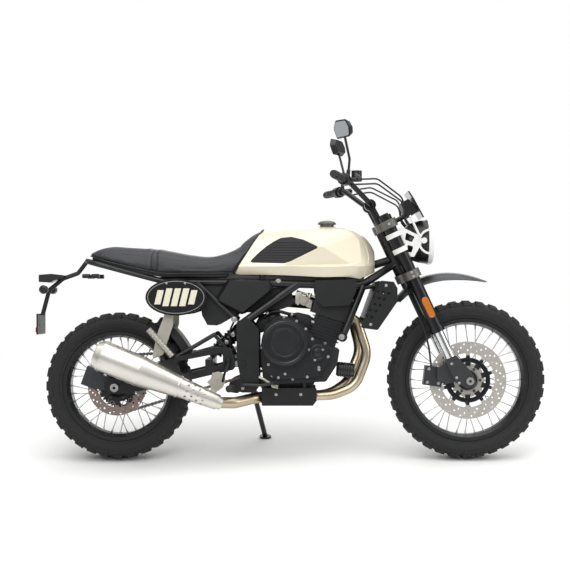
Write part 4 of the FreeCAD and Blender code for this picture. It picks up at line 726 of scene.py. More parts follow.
# %% [markdown]
# Each spoke ends in a bright nipple that shows on the inside of the black rim. Four spokes make one
# pattern, two to each side of the hub and crossing two by two, and it comes nine times round the wheel.

# %% Spoke nipples
SPOKES = 36
SPOKE_SWEEP = 34.0
SPOKE_CROSS = 4.4
FLANGE_T = 6.0
NIPPLE = [(1, 4.6), (7, 4.4), (8, 3.4), (17, 3.0), (19, 2.2)]

def add_nipples(name, axle, rim_r, flange_r, hub_w, body):
    nipples = []
    for i in range(4):
        side, turn = (1 if i % 2 else -1), (1 if (i // 2) % 2 else -1)
        at_rim = math.radians(360 / SPOKES * i)
        at_hub = at_rim + math.radians(turn * SPOKE_SWEEP)
        aside = turn * SPOKE_CROSS / 2
        inner = on_circle(flange_r - FLANGE_T, at_hub, side * (hub_w / 2 - 2.5 * FLANGE_T) + aside)
        outer = on_circle(rim_r + 3, at_rim, side * FLANGE_T + aside)
        nipples.append(turned(NIPPLE, outer, inner - outer, 10))
    mesh = grown(RING, joined(nipples), Count=SPOKES // 4, Material=ZINC_STEEL)
    mesh.transform(Matrix.Translation(axle))
    add_piece(name, smooth(mesh), ZINC_STEEL, body)

add_nipples("front_spoke_nipples", FRONT_AXLE, FRONT_RIM_R, 58.0, 84.0, "front_wheel")
add_nipples("rear_spoke_nipples", REAR_AXLE, REAR_RIM_R, 66.0, 104.0, "rear_wheel")

# %% [markdown]
# The chain runs round two sprockets like a belt. Its links alternate: an inner link is two plates on two
# rollers, an outer link is two plates on two pins. Both are drawn once, and the third tree lays them
# along the belt, each turned to the chord between its own pins.

# %% Chain
CHAIN_Y = 92.0
CHAIN_H = 14.0
CHAIN_WAIST = 2.6
LINKS = 112
FRONT_SPROCKET = REAR_AXLE + Vector((601, 0, 105))
REAR_LOOP_R = 120.5         # of the pins' path round each sprocket
FRONT_LOOP_R = 47.1

def belt(a, radius_a, b, radius_b, count):
    """Evenly spaced points on the closed path of a belt round two circles."""
    span = b - a
    spread = math.acos((radius_a - radius_b) / span.length)
    base = math.atan2(span.z, span.x)
    fine = []
    for centre, radius, start, end in ((a, radius_a, base + spread, base - spread + 2 * math.pi),
                                       (b, radius_b, base - spread, base + spread)):
        fine += [centre + on_circle(radius, start + (end - start) * i / 120) for i in range(121)]
    fine.append(fine[0])
    lengths = [(q - p).length for p, q in zip(fine, fine[1:])]
    step = sum(lengths) / count
    points, walked, i = [], 0.0, 0
    for k in range(count):
        while walked + lengths[i] < k * step:
            walked += lengths[i]
            i += 1
        points.append(fine[i].lerp(fine[i + 1], (k * step - walked) / lengths[i]))
    return points

def link_plate(pitch, low, high):
    """Two round ends with a waist between them, x along the chain and z through the plate."""
    outline = []
    for end in (1, -1):
        for i in range(7):
            turn = math.radians(-75 + 25 * i)
            x, y = pitch / 2 + CHAIN_H / 2 * math.cos(turn), CHAIN_H / 2 * math.sin(turn)
            outline.append((end * x, end * y))
        outline.append((0, end * (CHAIN_H / 2 - CHAIN_WAIST)))
    return skin([[Vector((x, y, z)) for x, y in outline] for z in (low, high)])

def link(pitch, inside, outside, pin_r, pin_half, steps):
    """Two plates on two round pins or rollers."""
    profile = [(0, pin_r), (2 * pin_half, pin_r)]
    pins = [turned(profile, (x, 0, -pin_half), UP, steps) for x in (-pitch / 2, pitch / 2)]
    return joined([link_plate(pitch, inside, outside), link_plate(pitch, -outside, -inside)] + pins)

pins = belt(REAR_AXLE, REAR_LOOP_R, FRONT_SPROCKET, FRONT_LOOP_R, LINKS)
pins = [pin + Vector((0, CHAIN_Y, 0)) for pin in pins]
pairs = list(zip(pins, pins[1:] + pins[:1]))
middles = [(p + q) / 2 for p, q in pairs]
chords = [(q - p).normalized() for p, q in pairs]
pitch = (pins[1] - pins[0]).length
shapes = (link(pitch, 4.4, 6.4, 5.1, 4.8, 10), link(pitch, 6.5, 8.4, 2.4, 8.9, 8))
links = [copied(shape, middles[i::2], LEFT, chords[i::2], CHAIN_STEEL) for i, shape in enumerate(shapes)]
add_piece("drive_chain", smooth(joined(links)), CHAIN_STEEL, "chassis", ("chain",))
print("chain pitch", round(pitch, 3), "mm")

# %% [markdown]
# The seat is a foam pad under a sewn cover. It starts as a row of rings whose width, foot and top follow
# the frame, and which lean over at the front until they lie against the tank. Its wrinkles come from a
# noise of under a millimetre. It starts a little too small, because it will swell.

# %% The shape of the seat
SEAT_TAIL, SEAT_NOSE = -108, 612
SEAT_ROWS = [(SEAT_TAIL, 84, 829, 858), (-60, 104, 812, 881), (63, 118, 782, 878), (192, 128, 757, 869),
             (300, 130, 757, 849), (380, 126, 757, 841), (440, 118, 758, 853), (500, 106, 760, 880),
             (560, 96, 770, 938), (SEAT_NOSE, 88, 790, 962)]     # station, half width, foot, top
PAN = 15.0                  # the hard black band under the leather
SEAT_FRONT = 483.0
LEAN_FROM = 380.0           # the rings begin to lean towards the tank here
TANK_SLOPE = 0.643
TANK_FOOT = 774.0           # a leaning ring keeps its place at this height
CROSS_SEAM = 159.0
SEAM_HALF = 8.0
UNDERSIZE = 3.0             # the pad starts this much smaller, because it swells
HELD_MM = 9.0               # how much of its underside and its front is held
WRINKLE_MM = 0.9
WRINKLES_PER_MM = 0.022
PROFILE = [(0.86, 0.0), (0.95, 0.02), (0.99, 0.13), (1.0, 0.27), (0.985, 0.44), (0.945, 0.60), (0.87, 0.74),
           (0.74, 0.86), (0.56, 0.94), (0.30, 0.985), (0.0, 1.0)]

def eased(rows, x):
    """Values between the rows of a table, on a smooth curve through them."""
    i = max(0, min(len(rows) - 2, sum(1 for row in rows if row[0] <= x) - 1))
    before, a, b, after = rows[max(0, i - 1)], rows[i], rows[i + 1], rows[min(len(rows) - 1, i + 2)]
    t = (x - a[0]) / (b[0] - a[0])
    values = []
    for k in range(1, len(a)):
        slope_a = (b[k] - before[k]) / (b[0] - before[0]) * (b[0] - a[0])
        slope_b = (after[k] - a[k]) / (after[0] - a[0]) * (b[0] - a[0])
        values.append(a[k] * (1 + 2 * t) * (1 - t) ** 2 + slope_a * t * (1 - t) ** 2
                      + b[k] * t * t * (3 - 2 * t) + slope_b * t * t * (t - 1))
    return values
def seat_point(station, across, up, foot=PAN):
    """A point of the seat's outside. up runs from its foot, 0, to its top, 1."""
    t = max(0.0, min(1.0, (station - LEAN_FROM) / (SEAT_FRONT - LEAN_FROM)))
    lean = TANK_SLOPE * t * t * (3 - 2 * t)
    x = station
    for _ in range(6):
        half, low, high = eased(SEAT_ROWS, x)
        z = low + foot + up * (high - low - foot)
        x = station + lean * (z - TANK_FOOT)
    return Vector((x, across * half, z))

def seat_loop(station):
    return [seat_point(station, a, u) for a, u in [(-a, u) for a, u in PROFILE] + PROFILE[-2::-1]]

def seat_ring(station, scale=1.0, back=0.0):
    ring = seat_loop(station)
    middle = sum(ring, Vector()) / len(ring)
    for i, point in enumerate(ring):
        out = Vector((0, point.y - middle.y, point.z - middle.z)).normalized()
        wrinkle = noise.noise(point * WRINKLES_PER_MM) * WRINKLE_MM
        ring[i] = middle + (point + out * (wrinkle - UNDERSIZE) - middle) * scale - Vector((back, 0, 0))
    return ring

def seat_heights(x):
    """The foot and the top of the seat at a place along it."""
    return eased(SEAT_ROWS, max(SEAT_TAIL, min(SEAT_NOSE, x)))[1:]

def is_held(point):
    """The seat's flat underside and its front, which rests on the tank."""
    low, _ = seat_heights(point.x)
    to_tank = SEAT_FRONT - point.x + TANK_SLOPE * (point.z - TANK_FOOT)
    return point.z - low - PAN < HELD_MM or to_tank < HELD_MM

# %% [markdown]
# Cloth is simulated in metres. A voxel remesh first gives the shape even faces, twenty frames blow it up,
# and each point is then drawn back along its way if it went further than the cap.

# %% Inflating a pad
FRAMES = 20

def inflated(mesh, voxel_mm, pressure, cap_mm, is_held):
    """A pad that Blender's Cloth has blown up, with its held points pinned and each point's way capped."""
    mesh.transform(Matrix.Scale(0.001, 4))
    start = finished(mesh, ("REMESH", {"mode": "VOXEL", "voxel_size": voxel_mm / 1000}),
                     ("SMOOTH", {"factor": 0.5, "iterations": 6}))
    pad = placed("pad", start)
    held = pad.vertex_groups.new(name="held")
    held.add([v.index for v in start.vertices if is_held(v.co * 1000)], 1.0, "REPLACE")
    cloth = pad.modifiers.new("cloth", "CLOTH")
    cloth.settings.use_pressure = True
    cloth.settings.uniform_pressure_force = pressure
    cloth.settings.effector_weights.gravity = 0.0
    cloth.settings.vertex_group_mass = "held"
    cloth.point_cache.frame_end = FRAMES
    for step in range(1, FRAMES + 1):
        bpy.context.scene.frame_set(step)
    blown = baked(pad)
    ways = [b.co - a.co for a, b in zip(start.vertices, blown.vertices)]
    print("pad swelled by up to", round(max(w.length for w in ways) * 1000, 1), "mm before its cap")
    for vertex, a, way in zip(blown.vertices, start.vertices, ways):
        vertex.co = a.co + way * min(1.0, cap_mm / 1000 / max(way.length, 1e-6))
    bpy.context.scene.frame_set(1)
    start = blown
    start.transform(Matrix.Scale(1000, 4))
    return start

STATION_STEP = 7
stations = list(range(SEAT_TAIL, 476, STATION_STEP)) + [SEAT_FRONT]
tail = [seat_ring(SEAT_TAIL, scale, back) for scale, back in ((0.35, 5.5), (0.72, 4.2), (0.92, 1.8))]
cushion = inflated(skin(tail + [seat_ring(s) for s in stations]), voxel_mm=7.0, pressure=4.0, cap_mm=5.0,
                   is_held=is_held)
cushion = finished(cushion, ("SUBSURF", {"levels": 1, "render_levels": 1}))

# %% [markdown]
# The sewn seam then draws the leather in, and the foam puffs out a little on either side of it.

# %% Seat cushion
PUFF, PUFF_AT, PUFF_WIDTH = 2.2, 24.0, 13.0
PULL, PULL_WIDTH = 3.2, 4.0

def bells(distance, width, x):
    """Two smooth bumps at a distance to either side of the cross seam."""
    return sum(math.exp(-((x - CROSS_SEAM - s * distance) / width) ** 2) for s in (-1, 1))

def swell(x):
    return PUFF * bells(PUFF_AT, PUFF_WIDTH, x) - PULL * bells(SEAM_HALF, PULL_WIDTH, x)

for vertex in cushion.vertices:
    low, high = seat_heights(vertex.co.x)
    out = Vector((0, vertex.co.y, vertex.co.z - (low + high) / 2)).normalized()
    if vertex.co.z > low + PAN + 6:
        vertex.co += out * swell(vertex.co.x)
smooth(cushion, 60)
leather = surface(cushion)
seat = add_piece("seat_cushion", cushion, SEAT_LEATHER, "chassis", ("seat",))

def laid_on(points, out):
    """Points moved onto the leather, and out of it."""
    found = [leather.find_nearest(point) for point in points]
    return [place + normal * out for place, normal, _, _ in found]

# %% [markdown]
# Piping stands along the two lines of the cross seam and along the cover's lower edge. A line of
# stitches follows the edge of the top panel, one every nine millimetres. Below the leather shows the
# black pan that the foam is glued to, and a rubber strip fills the joint with the tank.

# %% Seams, stitches and seat pan
piping = [cable(laid_on(seat_loop(CROSS_SEAM + s * SEAM_HALF), 0.9), 1.7) for s in (-1, 1)]
edge = [seat_point(s, 0.985, 0.0) for s in stations[::3] + [SEAT_FRONT]]
piping += [cable([Vector((p.x, side * p.y, p.z)) for p in edge], 2.0) for side in (1, -1)]
add_piece("seat_piping", smooth(joined(piping)), MOULDED_BLACK)

stitch = turned([(-2.8, 0.2), (-2.2, 0.7), (2.2, 0.7), (2.8, 0.2)], (0, 0, 0), (1, 0, 0), 6)
line = laid_on([seat_point(s, 0.905, 0.685) for s in range(-96, 476, 9)], 0.1)
line = [p for p in line if abs(p.x - CROSS_SEAM) > SEAM_HALF + 3]
ways = [(q - p).normalized() for p, q in zip(line, line[1:])]
sewn = copied(stitch, line[:-1], Vector((0, 0.55, 0.83)), ways, THREAD)
add_piece("seat_stitches", both_sides(smooth(sewn)), THREAD)

def pan_ring(station):
    low, rise = seat_point(station, -0.9, 0.0, 0.0), Vector((0, 0, PAN + 4))
    left = Vector((low.x, -low.y, low.z))
    return [low, low + rise, left + rise, left]

pan = bevelled(skin([pan_ring(s) for s in stations[1::3]]), 2.0, 2)
add_piece("seat_pan", smooth(pan), MOULDED_BLACK)
joint = cable([p + Vector((2.0, 0, 0)) for p in seat_loop(SEAT_FRONT)], 3.4)
add_piece("tank_joint_strip", smooth(joint), MOULDED_BLACK)

# %% [markdown]
# The knee pads are rubber with raised ribs, so that the rider's knees don't slip. Each rib is a straight
# line in side view that is pressed onto the pad. The tank's front edge has a rolled rim, made the same
# way, and rubber grommets hide where the tank sits on the frame.

# %% Knee pad ribs, tank rim and grommets
KNEE = [(548, 816), (619, 912), (719, 921), (770, 909), (833, 878), (713, 819), (690, 812)]
RIBS, RIB_LOW, RIB_STEP, RIB_INSET = 8, 826, 10.5, 9

def crossings(outline, z):
    """Where a level line enters and leaves a convex outline."""
    found = []
    for (xa, za), (xb, zb) in zip(outline, outline[1:] + outline[:1]):
        if (za - z) * (zb - z) < 0:
            found.append(xa + (xb - xa) * (z - za) / (zb - za))
    return min(found), max(found)

pads = surface_of("knee_pads")
ribs = []
for i in range(RIBS):
    z = RIB_LOW + RIB_STEP * i
    start, end = crossings(KNEE, z)
    route = [(start + RIB_INSET + (end - start - 2 * RIB_INSET) * k / 12, z) for k in range(13)]
    ribs.append(cable(pressed(pads, route, 0.2), 2.1, 2))
add_piece("knee_pad_ribs", smooth(both_sides(joined(ribs))), SOFT_RUBBER)

rim_route = [(962, 952), (990, 936), (1013, 911), (1030, 880), (1040, 846), (1034, 808), (1022, 776),
             (1016, 758)]
rolled_rim = cable(pressed(surface_of("fuel_tank"), rim_route), 2.6, 2)
add_piece("tank_rim", smooth(both_sides(rolled_rim)), TANK_PAINT)

grommet = [(0, 13), (2, 15), (8, 15), (10, 12.5), (12, 15), (20, 15)]
grommets = joined([turned(grommet, (x, y, 747), UP, 20) for x in (600, 950) for y in (-88, 88)])
add_piece("tank_grommets", smooth(grommets), SOFT_RUBBER)

# %% [markdown]
# The oval plates are gloss black with a thin grey line inside their edge. Five plain slanted bars stand
# where a rider would put a number.

# %% Oval plates
PLATE_AT = Vector((253, 0, 674))
PLATE_FACE = 170.0
BARS, BAR_W, BAR_GAP, BAR_H, BAR_LEAN = 5, 25.0, 9.0, 72.0, 0.24

ring = [(115, 66, -0.5), (115, 66, 0.5), (112.5, 63.5, 0.5), (112.5, 63.5, -0.5)]
lines = [[Vector((PLATE_AT.x + rx * math.cos(t), -PLATE_FACE - out, PLATE_AT.z + rz * math.sin(t)))
          for rx, rz, out in ring] for t in turns(72)]
add_piece("plate_lines", both_sides(skin(lines, looped=True)), PLATE_LINE)
bars = []
for i in range(BARS):
    middle = PLATE_AT.x + (i - BARS // 2) * (BAR_W + BAR_GAP)
    tall = BAR_H / 2 * (0.8 if i in (0, BARS - 1) else 1.0)
    corners = [(middle + sx * BAR_W / 2 + sz * tall * BAR_LEAN, PLATE_AT.z + sz * tall)
               for sx, sz in ((-1, -1), (1, -1), (1, 1), (-1, 1))]
    bars.append(plate(corners, -PLATE_FACE - 0.7, -PLATE_FACE + 0.5, 0.5))
add_piece("plate_bars", both_sides(joined(bars)), PLATE_CREAM)
add_bolts("plate_screws", [(215, -170.5, 731), (290, -170.5, 731)], RIGHT, 3.6)

# %% [markdown]
# The headlight is black with a thin white rim. Behind a domed glass lie a bright ring and one round
# projector lens, on a dark plate. Every part of it is turned about the lamp's axis.

# %% Headlight
LAMP = FRONT_AXLE + Vector((-186, 0, 576))
def add_lamp_piece(name, meshes, material, replaces=()):
    add_piece(name, smooth(joined(meshes)), material, "steering", replaces)

def lamp_hoop(*profile):
    return hoop(profile, LAMP, FORWARD)

def lamp_glass(profile, steps):
    return turned(profile, LAMP, FORWARD, steps)

rim = lamp_hoop((23, 92.4), (23, 95.0), (37, 95.5), (44, 91.5), (45, 86), (43, 84.2), (35, 84.2), (35, 92.4))
add_lamp_piece("headlight_rim", [rim], BRACKET_WHITE)
dome = [(35.5, 0), (34.5, 50), (30, 79), (30, 83.2), (35, 83.2), (40, 64), (43.4, 34), (44.4, 0)]
add_lamp_piece("headlight_glass", [lamp_glass(dome, 64)], CLEAR_LENS, ("headlight_lens",))
rings = [lamp_hoop((26.4, 60), (29, 61), (29, 75), (26.4, 77)),
         lamp_hoop((26.4, 28), (31, 30), (31, 33), (26.4, 38))]
add_lamp_piece("headlight_reflectors", rings, CHROME)
projector = lamp_glass([(26.4, 28), (28, 26), (31, 16), (32.5, 0)], 40)
add_lamp_piece("headlight_projector", [projector], CLEAR_LENS)

# %% [markdown]
# The little instrument box has its display on top, facing the rider: a pane of dark glass with a row of
# plain bars that climb from left to right, as a rev counter's do. They are drawn flat, with x up the
# display's face and y to the left, and one matrix sets them on the box.

# %% Instrument display
low, high = LAMP + Vector((-89, 0, 158.1)), LAMP + Vector((-59, 0, 174.9))
axes = ((high - low).normalized(), LEFT, Vector((-19, 0, 34)).normalized())
DISPLAY = Matrix.Translation(low) @ Matrix(axes).transposed().to_4x4()

def on_display(low_corner, high_corner):
    shape = box(low_corner, high_corner)
    shape.transform(DISPLAY)
    return shape

pane = on_display((0, -47, -0.5), ((high - low).length, 47, 1.2))
add_piece("display_pane", pane, DISPLAY_GLASS, "steering")
bars = [on_display((7, 40 - 6 * i, 1.0), (12 + 1.1 * i, 36.6 - 6 * i, 1.5)) for i in range(12)]
add_piece("display_bars", joined(bars), DISPLAY_MARKS, "steering")

# %% [markdown]
# Silver bolts dot the black machine, and they are what makes it look assembled. The places on the right
# are read off the photograph, those on the left are guessed, and a ray from the side finds the surface
# that each one sits on.

# %% Bolts on the frame and the engine
SINK = 0.3                  # how deep a washer is let into its surface

def seated(nodes, places, side=-1):
    """The points of (x, z) places on the outermost of several nodes."""
    found = []
    surfaces = [surface_of(node) for node in nodes]
    for place in places:
        hits = [hit for surface in surfaces for hit in pressed(surface, [place], 0.0, side)]
        if hits:
            found.append(max(hits, key=lambda hit: hit.y * side) - Vector((0, side * SINK, 0)))
    return found

def add_bolts_on_both_sides(name, nodes, places, size):
    for side, facing, side_name in SIDES:
        add_bolts(name + "_" + side_name, seated(nodes, places, side), facing, size)

FRAME_BOLTS = [(666, 739), (799, 709), (486, 584), (474, 560), (925, 512), (599, 359), (522, 304), (495, 402)]
FRAME_NODES = ["main_frame", "subframe", "crankcase", "swingarm", "head_shrouds", "foot_controls"]
add_bolts_on_both_sides("frame_bolts", FRAME_NODES, FRAME_BOLTS, [8.5, 9.0, 9.0, 5.0, 8.5, 6.5, 5.5, 6.5])

CASE_BOLTS = [(689, 592), (741, 576), (778, 545), (596, 534), (598, 468), (626, 400), (666, 347), (725, 338),
              (784, 350), (831, 389), (832, 380), (869, 432), (859, 484), (805, 504), (792, 460), (848, 462),
              (815, 421), (694, 362), (640, 352)]
ENGINE = ["side_casings", "crankcase", "cylinder_block", "cylinder_head"]
add_bolts("case_bolts_right", seated(ENGINE, CASE_BOLTS), RIGHT, 4.4)
cover_angles = [math.radians(15 + 40 * i) for i in range(9)]
LEFT_BOLTS = [(776 + 84 * math.cos(a), 440 + 84 * math.sin(a)) for a in cover_angles]
LEFT_BOLTS += [(606, 380), (606, 452), (640, 488), (690, 484), (650, 362)]
add_bolts("case_bolts_left", seated(ENGINE, LEFT_BOLTS, 1), LEFT, 4.4)
GUARD_BOLTS = [(1104, 722), (1041, 564), (657, 276), (758, 276)]
add_bolts_on_both_sides("guard_bolts", ["radiator_guards", "sump_guard"], GUARD_BOLTS, 4.8)

# %% [markdown]
# The clutch cover is turned: a wide rim, a groove, and a dished cap with a fine step. The round pump
# cover beside it is made the same way.

# %% Turned covers on the engine
CLUTCH = Vector((692, -172, 489))
PUMP = Vector((826, -156, 450))
rings = joined([
    hoop([(-0.5, 91), (3.5, 89.5), (5.0, 85), (4.5, 80), (2, 76), (-0.5, 75)], CLUTCH, RIGHT),
    hoop([(9.5, 60), (12.5, 58.5), (12.5, 53), (10.5, 50.5), (9.5, 50)], CLUTCH, RIGHT),
    hoop([(-0.5, 32), (3, 31), (4, 27), (3, 24), (-0.5, 23)], PUMP, RIGHT, 40),
    turned([(-0.5, 17), (2, 16.5), (3, 14), (3.2, 0)], PUMP, RIGHT, 40)])
add_piece("engine_cover_rings", smooth(rings), COVER_BLACK)

# %% [markdown]
# Between the frame's diagonal and the cylinder head shows a knot of small silver parts: the throttle's
# drum with its cable stop, two injectors and the fuel rail. Below it sit the brake's foot-plate, of bare
# cast aluminium, and the rear brake's small pump.

# %% Throttle parts, heel plates and brake pump
INJECTOR = [(0, 8), (12, 8), (13, 6), (26, 6), (27, 9), (38, 9)]
knot = [turned([(0, 19), (2, 21), (3, 17), (5, 17), (6, 21), (8, 19)], (772, -78, 660), RIGHT, 32),
        turned([(0, 6), (14, 6), (15, 9), (19, 9)], (772, -78, 660), RIGHT, 16),
        turned([(0, 5), (96, 5)], (742, -60, 700), (1, -0.15, -0.35), 16)]
knot += [turned(INJECTOR, (x, -64, 690), (0.25, -0.3, -1), 16) for x in (752, 786)]
knot += [plate([(736, 690), (760, 700), (768, 676), (748, 640), (736, 650)], -84, -80, 1.0),
         plate([(786, 668), (806, 660), (800, 628), (778, 636)], -86, -82, 1.0),
         turned([(0, 7), (22, 7), (24, 4), (34, 4)], (800, -70, 690), (-0.4, -0.2, -1), 12)]
add_piece("throttle_parts", smooth(joined(knot)), CAST_SILVER)
pedal = cable([(588, -146, 350), (606, -150, 344), (630, -153, 326), (664, -154, 312)], 5.2)
foot_pad = plate([(636, 322), (662, 314), (666, 304), (640, 309)], -166, -142, 1.5)
add_piece("brake_pedal_tip", joined([pedal, foot_pad]), CAST_SILVER)
heel = plate([(376, 330), (392, 344), (398, 366), (424, 372), (449, 360), (452, 330), (440, 306), (408, 284),
              (390, 290), (392, 312)], -143.5, -137.0, 1.5)
eye = turned([(0, 13), (1.5, 13), (1.5, 7), (3, 6), (3, 0)], (414, -143.4, 340), RIGHT, 24)
add_piece("heel_plate", joined([heel, eye]), CAST_SILVER)
pump = joined([turned([(0, 8), (6, 11), (44, 11), (46, 8), (58, 6)], (452, -146, 372), (0.25, 0, 1), 24),
               turned([(0, 5), (60, 5)], (440, -146, 330), (0.25, 0, 1), 12)])
add_piece("rear_brake_pump", smooth(pump), ANODISED_BLACK)

# %% [markdown]
# A black tray fills the joint between the tank and the frame, and stands in for the shade under the
# tank and seat there. A starter motor, a breather box, an oil pan and some hoses fill the space round the
# crankcase.

# %% Shade tray, starter and hoses
# The first plate is the black tray under the tank and seat, a dark band that paints their shade.
filling = [plate([(150, 741), (1016, 741), (1020, 757), (486, 776), (440, 757), (150, 757)], -94, 94, 2.0),
           plate([(596, 296), (806, 296), (818, 330), (584, 330)], -72, 72, 4.0),
           plate([(704, 604), (748, 611), (796, 600), (838, 560), (838, 515), (760, 540), (704, 560)],
                 -58, 58, 5.0),
           plate([(568, 560), (590, 604), (628, 604), (632, 540), (572, 520)], -64, 64, 5.0),
           turned([(0, 20), (4, 26), (10, 29), (112, 29), (114, 32), (122, 32), (124, 26), (130, 12)],
                  (646, -66, 586), LEFT, 40)]
hoses = [([(604, -72, 590), (622, -80, 612), (668, -86, 618), (704, -82, 606), (738, -76, 600)], 7.0),
         ([(800, -74, 560), (826, -84, 596), (846, -84, 640), (858, -78, 690)], 5.5),
         ([(960, -60, 700), (975, -76, 660), (968, -84, 620), (950, -80, 580), (930, -70, 540)], 6.5),
         ([(1000, -64, 712), (1004, -78, 670), (984, -80, 622), (972, -70, 590)], 3.4),
         ([(520, -78, 640), (500, -96, 600), (476, -100, 560), (462, -96, 520), (470, -88, 470)], 4.0)]
filling += [cable(route, radius) for route, radius in hoses]
add_piece("tray_starter_hoses", smooth(joined(filling)), MOULDED_BLACK)
unions = joined([turned([(0, 8.6), (1, 9.6), (9, 9.6), (10, 8.6)], at, way, 20) for at, way in (
    ((618, -79, 607), (0.7, -0.2, 0.6)), ((716, -80, 603), (0.9, 0.1, -0.3)),
    ((806, -77, 570), (0.4, -0.2, 1)), ((966, -82, 610), (-0.3, 0.1, -1)),
    ((973, -74, 664), (0.1, -0.1, -1)))])
add_piece("hose_clips", smooth(unions), ZINC_STEEL)

# %% [markdown]
# Two short rear bosses show under the tail, and the shock's linkage shows a few bright bushes.

# %% Tail bosses and linkage bushes
boss, bush = [(0, 7.5), (1.5, 9), (30, 9), (31.5, 7.5)], [(0, 4), (0.6, 9), (6, 9), (6.6, 5), (10, 5)]
bosses = joined([turned(boss, (x, -58, 762), FORWARD, 20) for x in (-146, -108)])
add_piece("tail_bosses", both_sides(smooth(bosses)), ANODISED_BLACK)
bushes = joined([turned(bush, at, RIGHT, 20) for at in ((478, -56, 520), (452, -60, 488), (492, -62, 466))])
add_piece("linkage_bushes", smooth(bushes), ZINC_STEEL)

# %% [markdown]
# The passenger's pegs are folded up, and they are bare aluminium with grooves. The rider's pegs have
# ribbed rubber sleeves.

# %% Peg sleeves
def grooved(start, end, radius, count, depth):
    span = (Vector(end) - Vector(start)).length
    profile = [(0, radius - 3), (2, radius)]
    for i in range(count):
        at = 4 + (span - 8) * (i + 0.5) / count
        groove = ((-1.6, 0), (-0.8, depth), (0.8, depth), (1.6, 0))
        profile += [(at + along, radius - down) for along, down in groove]
    profile += [(span - 2, radius), (span, radius - 3)]
    return turned(profile, start, Vector(end) - Vector(start), 24)

passenger = grooved((137, -134, 544), (235, -134, 432), 13.0, 9, 1.2)
add_piece("passenger_peg_sleeves", smooth(both_sides(passenger), 50), CAST_SILVER)
rider = grooved((481, -160, 306), (470, -222, 308), 14.5, 7, 2.0)
add_piece("rider_peg_rubbers", smooth(both_sides(rider), 50), SOFT_RUBBER)

# %% [markdown]
# The radiator's core is thin fins between flat tubes. One fin and one tube are drawn, and the third tree
# lays them across the whole front.

# %% Radiator fins
core_low, core_high = Vector((1052, 0, 578)), Vector((1106, 0, 735))
core_up = (core_high - core_low).normalized()
core_out = Vector((core_up.z, 0, -core_up.x))
half = (core_high - core_low).length / 2 - 7
centre = (core_low + core_high) / 2
FINS, FIN_STEP, TUBE_STEP = 81, 3.4, 8.6
fin = box((-half, -0.4, -2.0), (half, 0.4, 1.6))
fin_places = [LEFT * (FIN_STEP * (i - FINS // 2)) for i in range(FINS)]
tube = box((-1.1, -138, -2.0), (1.1, 138, 2.4))
tube_places = [core_up * (-half + TUBE_STEP * i) for i in range(int(2 * half / TUBE_STEP) + 1)]
core = joined([copied(shape, [centre + place for place in places], core_out, core_up, CORE_BLACK)
               for shape, places in ((fin, fin_places), (tube, tube_places))])
add_piece("radiator_fins", core, ANODISED_GREY)

# %% [markdown]
# Details of the silencer and the pipes: a rolled band where the inlet cone ends, a spun cap with rivets
# at the outlet, a lip round its mouth, and a sleeve where it meets the collector.

# %% Silencer bands and rivets
length = (SILENCER_OUT - SILENCER_IN).length
way = (SILENCER_OUT - SILENCER_IN) / length
BANDS = [[(165, 40), (166, 44.5), (172, 46), (176, 45.5), (177, 40)],
         [(length - 40, 60), (length - 39, 63), (length - 26, 63), (length - 24, 60)],
         [(length - 2, 27), (length + 3, 27), (length + 4, 31), (length + 1, 35), (length - 2, 35)],
         [(-16, 23.5), (-16, 26), (2, 26), (2, 23.5)]]
bands = joined([hoop(band, SILENCER_IN, way) for band in BANDS])
add_piece("silencer_bands", smooth(bands), SILENCER_STEEL)
side_way = way.cross(LEFT).normalized()
facings = [Matrix.Rotation(angle, 3, way) @ side_way for angle in turns(10)]
rivets = [SILENCER_IN + way * (length - 32) + out * 62.6 for out in facings]
add_bolts("silencer_rivets", rivets, facings, 2.2, sides=12)

# %% [markdown]
# The wheels' own bolts: six hold each disc's carrier to its hub, and five hold the sprocket.

# %% Disc and sprocket bolts
def circle_of(centre, y, radius, count):
    return [centre + on_circle(radius, angle, y) for angle in turns(count)]

add_bolts("front_disc_bolts", circle_of(FRONT_AXLE, -62.6, 51, 6), RIGHT, 4.6, "front_wheel", DARK_STEEL)
add_bolts("rear_disc_bolts", circle_of(REAR_AXLE, -74.6, 51, 6), RIGHT, 4.6, "rear_wheel", DARK_STEEL)
add_bolts("sprocket_bolts", circle_of(REAR_AXLE, 95.7, 54, 5), LEFT, 5.0, "rear_wheel")

# %% [markdown]
# The front disc's carrier is a black ring with a silver star plate inside it. The amber reflectors on
# the fork have round ends, and both are cut from an outline in the fork's own frame.

# %% Disc carrier and reflectors
hub_face = FRONT_AXLE + Vector((0, -57.6, 0))
carrier = hoop([(0, 74), (5.2, 75), (5.8, 78), (5.8, 90), (5.2, 93), (0, 94)], hub_face, RIGHT, 80)
add_piece("disc_carrier_ring", smooth(carrier), ANODISED_BLACK, "front_wheel")
star = []
for angle in turns(120):
    reach = 66 + 5 * max(-1.0, min(1.0, 2.5 * math.cos(10 * angle)))
    section = ((0, 46), (4.4, 46.5), (4.4, reach - 0.6), (0, reach))
    star.append([hub_face + on_circle(r, angle, -d) for d, r in section])
add_piece("disc_star_plate", skin(star, looped=True), CAST_SILVER, "front_wheel")

def rounded_end(forward, up, radius, half_up):
    """A rectangle in the fork's frame whose two ends are half circles."""
    outline = []
    for i in range(25):
        turn = math.pi * i / 12
        end = half_up - radius if i <= 12 else radius - half_up
        outline.append((forward + radius * math.cos(turn), up + end + radius * math.sin(turn)))
    return outline

lenses = []
for half, out in ((13.8, 122.0), (13.8, 129.5), (12.6, 131.2), (10.5, 131.9)):
    lenses.append([on_fork(f, -out, u) for f, u in rounded_end(-28, 346, half, half + 32)])
reflectors = smooth(both_sides(skin(lenses)))
add_piece("amber_reflectors", reflectors, AMBER_LENS, "steering", ("fork_reflectors",))

# %% [markdown]
# Bolts that turn with the fork: on the clamps' pinch slots, the caliper, the feet and the bar's ends.

# %% Bolts on the fork
CALIPER_TURN = math.radians(173)    # which way the caliper lies from the front axle

